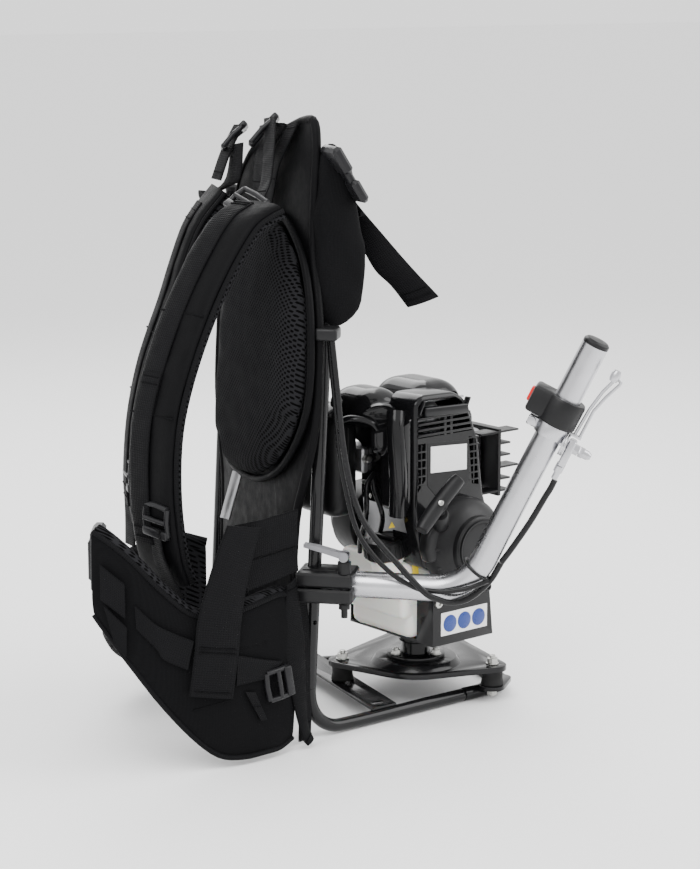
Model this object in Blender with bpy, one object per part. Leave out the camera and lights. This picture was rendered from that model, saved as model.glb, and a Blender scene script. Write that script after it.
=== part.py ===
"""Backpack power unit for a concrete vibrator: a tube frame with a padded harness, a small
four-stroke engine on a swivelling, rubber-mounted base, and a clamped handle with its controls.

World frame: +Z up, +X from the wearer towards the engine, -Y towards the operator's handle.
X = 0 is where the uprights cross the handle clamp, Y = 0 is midway between the uprights and
Z = 0 is the floor under the base loop. Sizes are in millimetres, and MM turns them into metres.
The engine's parts are drawn about the swivel, turned by ENGINE_TURN.
"""

import math

import bmesh
import bpy
from mathutils import Matrix, Vector

MM = 0.001
GAP = 0.3

# Tube frame
TUBE_R = 6.5
HALF_WIDTH = 118.0
LEAN = 0.05
LEAN_PIVOT_Z = 140.0
UPRIGHT_TOP = 505.0
UPRIGHT_FOOT = 52.0
FOOT_BEND = 40.0
LOOP_REAR_X = 245.5
LOOP_REAR_HALF = 56.0
CORNER_BEND = 28.0
CORNER_SPLIT = 62.0

# Rubber-mounted base
PLATE_TOP = 36.8
PLATE_SHEET = 2.5
PLATE_RIM = 31.5
SEAT_TOP = 15.8
STUD_R = 3.0
HUB = (150.0, -35.0)
DOME_R = 45.5
DOME_TOP = 42.5
HUB_BOLT_CIRCLE = 23.0
VIEW_TURN = -115.0
MOUNTS = {"front": (85.0, 0.0), "near": (214.0, -79.0), "far": (214.0, 79.0)}

# Engine
ENGINE_TURN = 15.0
CRANK = (5.0, 170.0)
FLOOR_Z = 68.0
SHEET = 3.0
CAP_AXIS_TILT = 10.0
CAP_BASE = (-46.0, -10.0, 150.0)
PULL = (-0.5, -0.55, 0.67)
GRIP = (-51.0, -92.0, 222.0)
GRIP_BAR = (0.74, 0.0, 0.67)

# Handle and clamp: s runs along the handle's heading, n away from it, z up
HANDLE_HEADING = -36.0
HANDLE_R = 12.5
HANDLE_Z = 155.0
HANDLE_START = 14.0
HANDLE_VERTEX = 146.8
HANDLE_RISE = 64.0
HANDLE_LENGTH = 261.0
HANDLE_BEND = 55.0
CLAMP_BORE = 12.9
SWITCH_AT = 192.5
BAND_AT = 173.0
THROTTLE_PIVOT = -6.5

# Cables
CABLE_R = 2.9
WIRE_R = 2.4

# Middle of the finished part seen from above, moved to the origin at the end
FOOTPRINT_CENTRE = (18.3, -81.15)

SMOOTH = math.radians(35)


def clear_scene():
    for obj in list(bpy.data.objects):
        bpy.data.objects.remove(obj)


def look(name, colour, roughness, metallic=0.0):
    """A Principled material of one colour."""
    material = bpy.data.materials.new(name)
    material.use_nodes = True
    shader = material.node_tree.nodes["Principled BSDF"]
    shader.inputs["Base Color"].default_value = (*colour, 1.0)
    shader.inputs["Roughness"].default_value = roughness
    shader.inputs["Metallic"].default_value = metallic
    material.diffuse_color = (*colour, 1.0)
    return material


def solid(mesh_source):
    """A temporary object, in metres, from a bmesh drawn in millimetres."""
    bmesh.ops.recalc_face_normals(mesh_source, faces=mesh_source.faces)
    bmesh.ops.scale(mesh_source, vec=(MM, MM, MM), verts=mesh_source.verts)
    mesh = bpy.data.meshes.new("solid")
    mesh_source.to_mesh(mesh)
    mesh_source.free()
    obj = bpy.data.objects.new("solid", mesh)
    bpy.context.scene.collection.objects.link(obj)
    return obj


def moved(obj, matrix):
    """The same solid, its mesh moved by a matrix whose offset is in millimetres."""
    shift = matrix.copy()
    shift.translation = matrix.translation * MM
    obj.data.transform(shift)
    return obj


def towards(axis, at=(0, 0, 0), turn=0.0):
    """A matrix that stands local +Z along axis, at a point."""
    matrix = Vector(axis).to_track_quat("Z", "Y").to_matrix().to_4x4()
    matrix = matrix @ Matrix.Rotation(math.radians(turn), 4, "Z")
    matrix.translation = Vector(at)
    return matrix


def boolean(target, tools, operation):
    for tool in tools:
        tool.hide_render = True
        tool.display_type = "WIRE"
        step = target.modifiers.new("step", "BOOLEAN")
        step.operation = operation
        step.object = tool
    graph = bpy.context.evaluated_depsgraph_get()
    mesh = bpy.data.meshes.new_from_object(target.evaluated_get(graph))
    target.modifiers.clear()
    target.data = mesh
    for tool in tools:
        bpy.data.objects.remove(tool)
    return target


def fuse(target, *tools):
    return boolean(target, tools, "UNION")


def cut(target, *tools):
    return boolean(target, tools, "DIFFERENCE")


def box(x, y, z, bevel=0.0, steps=1):
    """A box from three (low, high) pairs, its edges rounded."""
    shape = bmesh.new()
    bmesh.ops.create_cube(shape, size=1.0)
    for v in shape.verts:
        for axis, (low, high) in enumerate((x, y, z)):
            v.co[axis] = low if v.co[axis] < 0 else high
    if bevel:
        bmesh.ops.bevel(
            shape, geom=shape.edges[:], offset=bevel, segments=steps,
            profile=0.5, affect="EDGES", clamp_overlap=True,
        )
    return solid(shape)


def loft(rings, closed=False):
    """A skin over rings of equal count, with a flat face at each end unless it closes on itself."""
    shape = bmesh.new()
    rows = [[shape.verts.new(p) for p in ring] for ring in rings]
    count = len(rows[0])
    pairs = list(zip(rows, rows[1:]))
    if closed:
        pairs.append((rows[-1], rows[0]))
    for low, high in pairs:
        for i in range(count):
            j = (i + 1) % count
            shape.faces.new((low[i], low[j], high[j], high[i]))
    if not closed:
        shape.faces.new(rows[0][::-1])
        shape.faces.new(rows[-1])
    return solid(shape)


def circle(radius, z=0.0, sides=16, start=0.0):
    step = 2 * math.pi / sides
    return [
        Vector((radius * math.cos(start + i * step), radius * math.sin(start + i * step), z))
        for i in range(sides)
    ]


def turned(profile, sides=24, start=0.0):
    """A turned piece about Z: (radius, height) pairs, from one end face to the other."""
    return loft([circle(r, z, sides, start) for r, z in profile])


def ring(profile, sides=24):
    """A turned piece with a bore: the profile is a closed loop of (radius, height) pairs."""
    return loft([circle(r, z, sides) for r, z in profile], closed=True)


def prism(outline, low, high):
    """A flat outline, extruded from one height to another."""
    return loft([[Vector((x, y, z)) for x, y in outline] for z in (low, high)])


def hexagon(across, low, high):
    return prism([(p.x, p.y) for p in circle(across / math.sqrt(3), sides=6)], low, high)


def rounded(points, radius, steps=6):
    """A path through points, each inner corner replaced by an arc."""
    points = [Vector(p) for p in points]
    path = [points[0]]
    for before, corner, after in zip(points, points[1:], points[2:]):
        back = (before - corner).normalized()
        ahead = (after - corner).normalized()
        half = back.angle(ahead) / 2
        run = radius / math.tan(half)
        centre = corner + (back + ahead).normalized() * radius / math.sin(half)
        start = corner + back * run - centre
        axis = start.cross(corner + ahead * run - centre).normalized()
        turn = math.pi - 2 * half
        for i in range(steps + 1):
            path.append(centre + Matrix.Rotation(turn * i / steps, 3, axis) @ start)
    path.append(points[-1])
    return path


def tube(path, radius, side, sides=12):
    """A round tube along a path that lies in one plane, square to the side direction."""
    side = Vector(side).normalized()
    corner_radius = radius / math.cos(math.pi / sides)
    rings = []
    for i, point in enumerate(path):
        ahead = path[min(i + 1, len(path) - 1)] - point
        behind = point - path[max(i - 1, 0)]
        course = (ahead.normalized() + behind.normalized()).normalized()
        up = course.cross(side).normalized()
        section = circle(corner_radius, sides=sides, start=math.pi / sides)
        rings.append([point + up * p.x + side * p.y for p in section])
    return loft(rings)


def slab(outline, place, thickness):
    """A soft panel: a flat (u, v) outline, crowned a little, placed by a function of (u, v, depth)."""
    centre_u = sum(u for u, v in outline) / len(outline)
    centre_v = sum(v for u, v in outline) / len(outline)
    rings = []
    for scale, depth in ((0.9, 0.0), (1.0, 0.25), (1.0, 0.75), (0.9, 1.0)):
        rings.append([
            Vector(place(centre_u + (u - centre_u) * scale, centre_v + (v - centre_v) * scale, depth * thickness))
            for u, v in outline
        ])
    return loft(rings)


def band(path, across, width, thickness):
    """A padded strap: a flat rounded section carried along a path."""
    rings = []
    across = Vector(across).normalized()
    for i, point in enumerate(path):
        course = (path[min(i + 1, len(path) - 1)] - path[max(i - 1, 0)]).normalized()
        out = course.cross(across).normalized()
        half, deep = width / 2, thickness / 2
        section = [(-half, -deep * 0.5), (-half * 0.85, -deep), (half * 0.85, -deep), (half, -deep * 0.5),
                   (half, deep * 0.5), (half * 0.85, deep), (-half * 0.85, deep), (-half, deep * 0.5)]
        rings.append([point + across * a + out * b for a, b in section])
    return loft(rings)


def smooth_path(points, steps):
    """Points on a smooth curve through the given ones."""
    points = [Vector(p) for p in points]
    padded = [2 * points[0] - points[1], *points, 2 * points[-1] - points[-2]]
    path = []
    for a, b, c, d in zip(padded, padded[1:], padded[2:], padded[3:]):
        for i in range(steps):
            t = i / steps
            path.append(0.5 * (2 * b + (c - a) * t + (2 * a - 5 * b + 4 * c - d) * t**2
                               + (3 * b - a - 3 * c + d) * t**3))
    path.append(points[-1])
    return path


def cable(name, points, radius, finish, steps=3):
    """A cable as a round bevelled curve, its ends capped."""
    curve = bpy.data.curves.new(name, "CURVE")
    curve.dimensions = "3D"
    curve.bevel_depth = radius * MM
    curve.bevel_resolution = 2
    curve.use_fill_caps = True
    path = smooth_path(points, steps)
    spline = curve.splines.new("POLY")
    spline.points.add(len(path) - 1)
    for target, point in zip(spline.points, path):
        target.co = (*(point * MM), 1.0)
    curve.materials.append(finish)
    obj = bpy.data.objects.new(name, curve)
    bpy.context.scene.collection.objects.link(obj)
    return obj


def node(obj, name, finish, parent=None, pivot=(0, 0, 0)):
    """Names a finished solid and puts its origin on its pivot."""
    pivot = Vector(pivot) * MM
    obj.data.transform(Matrix.Translation(-pivot))
    obj.location = pivot
    obj.name = name
    obj.data.name = name
    obj.data.materials.clear()
    obj.data.materials.append(finish)
    obj.data.shade_smooth()
    obj.data.set_sharp_from_angle(angle=SMOOTH)
    obj.parent = parent
    return obj


def upright_x(z):
    return LEAN * (z - LEAN_PIVOT_Z)


def rail_direction(side):
    """Along a side rail from the upright's foot to the rear corner."""
    start = Vector((upright_x(TUBE_R), side * HALF_WIDTH, TUBE_R))
    return (Vector((LOOP_REAR_X, side * LOOP_REAR_HALF, TUBE_R)) - start).normalized()


def hull_of_circles(circles):
    """The outline of a belt drawn tight around circles given as (x, y, radius)."""
    points = sorted({
        (round(x + r * math.cos(a * math.pi / 12), 4), round(y + r * math.sin(a * math.pi / 12), 4))
        for x, y, r in circles
        for a in range(24)
    })

    def chain(ordered):
        kept = []
        for p in ordered:
            while len(kept) > 1 and (
                (kept[-1][0] - kept[-2][0]) * (p[1] - kept[-2][1])
                - (kept[-1][1] - kept[-2][1]) * (p[0] - kept[-2][0])
            ) <= 1e-6:
                kept.pop()
            kept.append(p)
        return kept

    return chain(points)[:-1] + chain(points[::-1])[:-1]


def build_frame(gloss):
    for name, side in (("near", -1), ("far", 1)):
        low = Vector((upright_x(UPRIGHT_FOOT), side * HALF_WIDTH, UPRIGHT_FOOT))
        high = Vector((upright_x(UPRIGHT_TOP), side * HALF_WIDTH, UPRIGHT_TOP))
        upright = tube([low, high], TUBE_R, (0, 1, 0))
        if side < 0:
            pin_hole = moved(turned([(2.2, -12), (2.2, 12)], 10), towards((0, 1, 0), (upright_x(117), -HALF_WIDTH, 117)))
            upright = cut(upright, pin_hole)
        node(upright, f"upright_{name}", gloss)
        foot = Vector((upright_x(TUBE_R), side * HALF_WIDTH, TUBE_R))
        corner = Vector((LOOP_REAR_X, side * LOOP_REAR_HALF, TUBE_R))
        course = rail_direction(side)
        top = Vector((upright_x(UPRIGHT_FOOT - GAP), side * HALF_WIDTH, UPRIGHT_FOOT - GAP))
        path = rounded([top, foot, corner - course * (CORNER_SPLIT + GAP)], FOOT_BEND)
        node(tube(path, TUBE_R, Vector((0, 0, 1)).cross(course)), f"side_rail_{name}", gloss)
    ends = [Vector((LOOP_REAR_X, s * LOOP_REAR_HALF, TUBE_R)) for s in (-1, 1)]
    starts = [end - rail_direction(s) * CORNER_SPLIT for end, s in zip(ends, (-1, 1))]
    rear = tube(rounded([starts[0], *ends, starts[1]], CORNER_BEND), TUBE_R, (0, 0, 1))
    for name in ("near", "far"):
        x, y = MOUNTS[name]
        side = -1 if y < 0 else 1
        outline = hull_of_circles([(x, y, 13), (x + 20, y - side * 18, 10)])
        rear = fuse(rear, cut(prism(outline, SEAT_TOP - 4, SEAT_TOP), stud_hole(x, y)))
    node(rear, "rear_rail", gloss)
    low_x, high_x = 70.0, 100.0
    outline = []
    for side in (-1, 1):
        ends = []
        for x in (low_x, high_x):
            t = (x - upright_x(TUBE_R)) / (LOOP_REAR_X - upright_x(TUBE_R))
            ends.append((x, side * (HALF_WIDTH + (LOOP_REAR_HALF - HALF_WIDTH) * t + 2)))
        outline += ends if side < 0 else ends[::-1]
    member = prism(outline, 2 * TUBE_R + GAP, SEAT_TOP)
    slots = [box((78, 92), (s * 82 - 3, s * 82 + 3), (10, 20)) for s in (-1, 1)]
    node(cut(member, stud_hole(*MOUNTS["front"]), *slots), "cross_member", gloss)
    bar = [Vector((upright_x(470), s * (HALF_WIDTH - TUBE_R - GAP), 470)) for s in (-1, 1)]
    node(tube(bar, TUBE_R - 1, (0, 0, 1)), "crossbar", gloss)


def stud_hole(x, y):
    return moved(turned([(STUD_R + 0.4, 0), (STUD_R + 0.4, 60)], 12), Matrix.Translation((x, y, 0)))


def build_base(gloss, rubber, zinc):
    rubber_low = SEAT_TOP + GAP
    rubber_high = PLATE_TOP - PLATE_SHEET - GAP
    bore = STUD_R + 0.4
    for name, (x, y) in MOUNTS.items():
        profile = [(bore, rubber_low), (11.4, rubber_low), (11.4, rubber_low + 2), (10.4, rubber_low + 6),
                   (10.4, rubber_high - 6), (11.4, rubber_high - 2), (11.4, rubber_high), (bore, rubber_high)]
        node(moved(ring(profile, 20), Matrix.Translation((x, y, 0))), f"rubber_mount_{name}", rubber)
        seat = 2 * TUBE_R + GAP if name == "front" else SEAT_TOP - 4
        stud = turned([(STUD_R, seat - 8), (STUD_R, PLATE_TOP + 9.5)], 12)
        stud = fuse(
            stud,
            turned([(6.5, PLATE_TOP + GAP), (6.5, PLATE_TOP + 1.6)], 16),
            hexagon(10, PLATE_TOP + 1.2, PLATE_TOP + 6.6),
            turned([(6.5, seat - 1.6), (6.5, seat - GAP)], 16),
            hexagon(10, seat - 6.2, seat - 1.2),
        )
        node(moved(stud, Matrix.Translation((x, y, 0))), f"mount_stud_{name}", zinc)
    ears = [(x, y, 14) for x, y in MOUNTS.values()]
    outer = hull_of_circles([*ears, (*HUB, 51)])
    inner = hull_of_circles([*((x, y, r - PLATE_SHEET) for x, y, r in ears), (*HUB, 51 - PLATE_SHEET)])
    plate = cut(prism(outer, PLATE_RIM, PLATE_TOP), prism(inner, PLATE_RIM - 2, PLATE_TOP - PLATE_SHEET))
    dome = moved(
        turned([(DOME_R, PLATE_TOP - 2), (DOME_R, PLATE_TOP + 0.4), (DOME_R - 5, DOME_TOP), (8, DOME_TOP)], 40),
        Matrix.Translation((*HUB, 0)),
    )
    plate = fuse(plate, dome)
    holes = [stud_hole(*spot) for spot in MOUNTS.values()] + [stud_hole(*spot) for spot in hub_bolts().values()]
    node(cut(plate, *holes), "base_plate", gloss)
    hub = turned([(29, DOME_TOP + GAP), (29, DOME_TOP + 4), (14.5, DOME_TOP + 4.4), (14.5, 58), (12.5, 58.4)], 32)
    hub = cut(hub, turned([(6.2, 47), (6.2, 70)], 20))
    hub = moved(hub, Matrix.Translation((*HUB, 0)))
    node(cut(hub, *[stud_hole(*spot) for spot in hub_bolts().values()]), "swivel_hub", gloss)
    for name, (x, y) in hub_bolts().items():
        bolt = turned([(STUD_R, 37), (STUD_R, DOME_TOP + 11)], 12)
        low = DOME_TOP + 4
        bolt = fuse(bolt, turned([(5.4, low + GAP), (5.4, low + 1.4)], 16), hexagon(8, low + 1.1, low + 5.4))
        node(moved(bolt, Matrix.Translation((x, y, 0))), f"hub_bolt_{name}", zinc)


def hub_bolts():
    spots = {}
    for name, turn in (("left", -60), ("right", 60), ("rear", 180)):
        angle = math.radians(VIEW_TURN + turn)
        spots[name] = (HUB[0] + HUB_BOLT_CIRCLE * math.cos(angle), HUB[1] + HUB_BOLT_CIRCLE * math.sin(angle))
    return spots


def crank_disc(profile, sides=28):
    """A piece turned about the crank's axis: heights run along the engine's own +Y."""
    return moved(turned(profile, sides), towards((0, 1, 0), (CRANK[0], 0, CRANK[1])))


def build_engine(looks):
    pivot = bpy.data.objects.new("engine_pivot", None)
    pivot.location = Vector((*HUB, 0)) * MM
    pivot.rotation_euler.z = math.radians(ENGINE_TURN)
    bpy.context.scene.collection.objects.link(pivot)
    black, gloss, alloy = looks["black"], looks["gloss"], looks["alloy"]
    cap = turned([(6, 49), (6, 59), (17, 59), (17, FLOOR_Z - GAP)], 24)
    node(cap, "swivel_cap", gloss, pivot)
    bracket = fuse(
        box((-28, 52), (-57, 69), (FLOOR_Z, FLOOR_Z + SHEET)),
        loft([
            [Vector((x, y, z)) for x, z in ((-28, FLOOR_Z + 0.5), (52, FLOOR_Z + 0.5), (46, 128), (-28, 128))]
            for y in (-57, -54)
        ]),
        box((-28, -25), (-56, -33), (FLOOR_Z + 0.5, 126)),
        box((-28, 40), (66, 68.7), (FLOOR_Z + 0.5, 120)),
    )
    node(bracket, "engine_bracket", gloss, pivot)
    tank = fuse(
        box((-37, 42), (-32, 59), (FLOOR_Z + SHEET + GAP, 148), 9, 3),
        box((-46, -27), (-32, 65), (92, 151), 7, 3),
        moved(turned([(17, -14), (17, 5)], 24), cap_place()),
    )
    tank = cut(tank, box((-60, 60), (65.2, 90), (60, 180)))
    node(tank, "fuel_tank", looks["tank"], pivot)
    fuel_cap = turned([(20.5, 5.4), (21.8, 7), (21.8, 22), (20, 24.5), (14, 25.5)], 32)
    node(moved(fuel_cap, cap_place()), "fuel_cap", black, pivot, CAP_BASE)
    case = cut(box((-22, 41), (-36, 60), (148.5, 232), 4), crank_disc([(7.4, -60), (7.4, 90)], 20))
    node(case, "crankcase", alloy, pivot)
    fins = []
    for i in range(5):
        low = 232.5 + i * 10.5
        for grow, z in ((0, low), (0, low + 4), (9, low + 4.5), (9, low + 7)):
            fins.append([Vector((x, y, z)) for x, y in (
                (-14 - grow, -24 - grow), (30 + grow, -24 - grow), (30 + grow, 44 + grow), (-14 - grow, 44 + grow))])
    node(loft(fins), "cylinder", alloy, pivot)
    build_crank(pivot, looks)
    build_covers(pivot, looks)
    build_intake_exhaust(pivot, looks)
    build_starter(pivot, looks)


def cap_place():
    tilt = math.radians(CAP_AXIS_TILT)
    return towards((-math.sin(tilt), 0, math.cos(tilt)), CAP_BASE)


def build_crank(pivot, looks):
    shaft = fuse(
        crank_disc([(7, -54), (7, 76)], 20),
        crank_disc([(33, -50), (33, -40)], 32),
        crank_disc([(26, 68), (26, 84)], 28),
    )
    node(shaft, "crankshaft", looks["steel"], pivot, (CRANK[0], 0, CRANK[1]))
    bell = crank_disc([(36, 60.5), (38, 63), (38, 92), (30, 102), (30, 104)], 36)
    bell = cut(bell, crank_disc([(9, 50), (9, 66), (28.5, 66), (28.5, 120)], 28))
    node(bell, "clutch_housing", looks["black"], pivot)


def build_covers(pivot, looks):
    cover = box((-56, 46), (-57, -18), (133, 292), 6, 2)
    cover = cut(cover, box((-52.5, 42.5), (-53.5, 0), (130, 288.5)))
    slots = [box((-44, 30), (-60, -50), (z, z + 5)) for z in range(214, 284, 11)]
    slots.append(crank_disc([(30, -60), (30, -50)], 28))
    slots.append(box((-60, -50), (-40, -10), (120, 206)))
    node(cut(cover, *slots), "fan_cover", looks["black"], pivot)
    hump = fuse(
        box((-58, 44), (-54, -14), (292.3, 310), 8, 3),
        box((-58, 44), (-26, 60), (294, 312), 8, 3),
    )
    node(hump, "top_cover", looks["gloss"], pivot)
    housing = crank_disc([(43, -82), (43, -57.3)])
    housing = fuse(housing, crank_disc([(29, -88), (31, -86), (31, -80)]))
    guide = moved(turned([(8.5, -40), (8.5, -17)], 16), towards(PULL, GRIP))
    housing = fuse(housing, guide)
    housing = cut(housing, crank_disc([(37, -78), (37, -50)]))
    housing = fuse(housing, crank_disc([(5, -80), (5, -60)], 16))
    node(housing, "recoil_housing", looks["black"], pivot)


def build_intake_exhaust(pivot, looks):
    black = looks["black"]
    node(box((-96, -63), (13, 76), (194, 293), 10, 3), "air_cleaner_cover", black, pivot)
    carburettor = fuse(box((-61.7, -23.5), (10, 40), (236, 262), 2), box((-53, -33), (6, 20), (220, 242), 2))
    carburettor = cut(carburettor, moved(turned([(8, -1), (8, 4)], 20), towards((0, 1, 0), (-43, 6, 231))))
    node(carburettor, "carburettor", looks["alloy"], pivot)
    bulb = turned([(7.5, 0), (7.5, 2), (6, 6), (2, 8)], 20)
    node(moved(bulb, towards((0, -1, 0), (-43, 5.7, 231))), "primer_bulb", looks["bulb"], pivot, (-43, 5.7, 231))
    choke = fuse(
        moved(turned([(4, 0), (4, 3)], 16), towards((0, -1, 0), (-52, 9.7, 254))),
        box((-54, -50), (6.9, 9.4), (254, 276)),
    )
    node(choke, "choke_lever", black, pivot, (-52, 9.7, 254))
    node(box((47, 75), (-16, 52), (206, 268), 5, 2), "muffler", looks["steel"], pivot)
    guard = box((75.3, 79), (-38, 52), (202, 270))
    levels = range(206, 270, 12)
    fins = [box((52 if i in (0, 5) else 76, 103 if i in (2, 5) else 92), (-38, -20), (z, z + 2))
            for i, z in enumerate(levels)]
    sides = [box((76, 92), (-30, 50), (z, z + 2)) for z in levels]
    guard = fuse(guard, *fins, *sides)
    node(guard, "muffler_guard", black, pivot)


def build_starter(pivot, looks):
    pulley = crank_disc([(27, -75), (27, -63)], 28)
    pulley = cut(pulley, crank_disc([(5.3, -80), (5.3, -50)], 16))
    node(pulley, "recoil_pulley", looks["black"], pivot, (CRANK[0], 0, CRANK[1]))
    pull = Vector(PULL).normalized()
    bar = moved(turned([(5, -31), (7, -27), (7, 27), (5, 31)], 16), towards(GRIP_BAR, GRIP))
    stem = moved(turned([(5, -16.5), (5, 0)], 14), towards(pull, GRIP))
    node(fuse(bar, stem), "starter_grip", looks["black"], pivot, GRIP)


def handle_point(s, z, n=0.0):
    """World point from the handle's own plane: s along its heading, n across it."""
    turn = math.radians(HANDLE_HEADING)
    x = upright_x(HANDLE_Z) + s * math.cos(turn) - n * math.sin(turn)
    y = -HALF_WIDTH + s * math.sin(turn) + n * math.cos(turn)
    return Vector((x, y, z))


def handle_matrix():
    matrix = Matrix.Rotation(math.radians(HANDLE_HEADING), 4, "Z")
    matrix.translation = handle_point(0, 0)
    return matrix


def on_tube(along):
    """A matrix on the handle's rising leg: +Z along the tube, +X out to the upper left."""
    rise = math.radians(HANDLE_RISE)
    axis = Vector((math.cos(rise), 0, math.sin(rise)))
    out = Vector((-math.sin(rise), 0, math.cos(rise)))
    rows = Matrix((out, axis.cross(out), axis)).transposed().to_4x4()
    rows.translation = Vector((HANDLE_VERTEX, 0, HANDLE_Z)) + axis * along
    return handle_matrix() @ rows


def build_clamp(looks):
    place = handle_matrix()
    lean = towards((LEAN, 0, 1), (upright_x(HANDLE_Z), -HALF_WIDTH, HANDLE_Z))
    for name, low, high in (("upper", 0.9, 14.5), ("lower", -14.5, -0.9)):
        half = box((-13, 41), (-25, 16.5), (HANDLE_Z + low, HANDLE_Z + high), 2)
        bore = moved(turned([(CLAMP_BORE, 10), (CLAMP_BORE, 60)], 24), towards((1, 0, 0), (0, 0, HANDLE_Z)))
        bolt_hole = moved(turned([(3.6, 0), (3.6, 300)], 14), Matrix.Translation((33, -18.5, 0)))
        half = moved(cut(half, bore, bolt_hole), place)
        half = cut(half, moved(turned([(TUBE_R + 0.4, -40), (TUBE_R + 0.4, 40)], 20), lean))
        node(half, f"clamp_{name}", looks["black"], pivot=handle_point(0, HANDLE_Z))
    bolt = fuse(
        turned([(3.2, 127), (3.2, 174)], 14),
        turned([(5.4, 135.5), (5.4, HANDLE_Z - 14.8)], 16),
        turned([(6.4, HANDLE_Z + 14.8), (6.4, 181)], 20),
        box((-4, 4), (-2.2, 2.2), (180, 190)),
    )
    bolt = moved(bolt, Matrix.Translation((33, -18.5, 0)))
    node(moved(bolt, place), "clamp_bolt", looks["black"])
    lever = cut(
        fuse(
            moved(turned([(4.6, -6), (4.6, 6)], 20), towards((0, 1, 0), (0, 0, 186))),
            loft([[Vector((x, y, z)) for y, z in ((-5, low), (5, low), (5, high), (-5, high))]
                  for x, low, high in ((-38, 194, 197), (-24, 190.5, 195), (-5, 185, 190.5), (0, 184, 190.5))]),
        ),
        box((-8, 8), (-2.6, 2.6), (170, 200)),
    )
    lever = moved(lever, Matrix.Translation((33, -18.5, 0)))
    lever_pivot = place @ Vector((33, -18.5, 186))
    node(moved(lever, place), "clamp_lever", looks["grey"], pivot=lever_pivot)


def build_handle(looks):
    rise = math.radians(HANDLE_RISE)
    vertex = handle_point(HANDLE_VERTEX, HANDLE_Z)
    top = handle_point(
        HANDLE_VERTEX + HANDLE_LENGTH * math.cos(rise), HANDLE_Z + HANDLE_LENGTH * math.sin(rise)
    )
    side = handle_point(0, 0, 1) - handle_point(0, 0, 0)
    path = rounded([handle_point(HANDLE_START, HANDLE_Z), vertex, top], HANDLE_BEND, 10)
    pivot = handle_point(0, HANDLE_Z)
    node(tube(path, HANDLE_R, side, 24), "handle_tube", looks["alloy"], pivot=pivot)
    plug = turned([(12.4, GAP), (12.4, 3.5), (10, 5.5)], 24)
    node(moved(plug, on_tube(HANDLE_LENGTH)), "handle_plug", looks["black"], pivot=pivot)
    housing = fuse(
        turned([(18, -13), (19, -11), (19, 11), (18, 13)], 24),
        box((0, 31), (-13, 13), (-12, 14), 3, 2),
    )
    housing = cut(housing, turned([(HANDLE_R + GAP, -30), (HANDLE_R + GAP, 30)], 24))
    housing = cut(housing, box((24, 40), (-5, 5), (-6, 10)))
    node(moved(housing, on_tube(SWITCH_AT)), "switch_housing", looks["black"], pivot=pivot)
    rocker = box((26, 33.5), (-4.5, 4.5), (-5, 9), 1)
    rocker_pivot = on_tube(SWITCH_AT) @ Vector((29.5, 0, 2))
    node(moved(rocker, on_tube(SWITCH_AT)), "kill_rocker", looks["red"], pivot=rocker_pivot)
    build_throttle(looks, pivot)


def build_throttle(looks, pivot):
    at = on_tube(BAND_AT)
    outwards = towards((-1, 0, 0), (0, 0, THROTTLE_PIVOT))
    bracket = fuse(
        turned([(15.2, -6), (15.2, 6)], 24),
        box((13, 24), (-4.5, 4.5), (-5, 5), 1),
        box((-16.2, -12), (-5, 5), (-9, 4)),
        moved(turned([(11.5, 14.6), (11.5, 16.2)], 24), outwards),
        moved(turned([(3, 15), (3, 27)], 14), outwards),
        box((-26.5, -19.1), (-6, 6), (-27, 1), 1.5),
        moved(hexagon(9, 26, 31), outwards),
        moved(hexagon(9, 31.5, 36), outwards),
        moved(turned([(3, 30), (3, 33), (4.4, 34), (4.4, 40), (2.5, 43.5)], 14), outwards),
        moved(turned([(4.2, -33), (4.2, -24)], 12), Matrix.Translation((-22.6, 0, 0))),
        moved(turned([(3, -40), (3, -30)], 12), Matrix.Translation((-22.8, 0, 0))),
    )
    bracket = cut(bracket, turned([(HANDLE_R + GAP, -30), (HANDLE_R + GAP, 30)], 24))
    bracket = fuse(bracket, moved(turned([(4, -8), (4, 8)], 14), towards((0, 1, 0), (20, 0, 0))))
    node(moved(bracket, at), "throttle_bracket", looks["alloy"], pivot=pivot)
    loop = [(-20.9, 0, 4), (-22.2, 0, 33), (-25.4, 0, 53), (-31, 0, 71), (-37, 0, 68), (-30.4, 0, 50),
            (-26.2, 0, 33), (-26.2, 0, 4)]
    lever = fuse(
        moved(turned([(11.5, 16.5), (11.5, 18.8)], 24), outwards),
        box((-28, -16.6), (-3, 3), (3.6, 6)),
        tube(rounded(loop, 2.6, 3), 1.5, (0, 1, 0), 8),
    )
    lever = cut(lever, moved(turned([(3.3, 10), (3.3, 25)], 16), outwards))
    node(moved(lever, at), "throttle_lever", looks["alloy"], pivot=at @ Vector((-17.6, 0, THROTTLE_PIVOT)))


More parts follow.
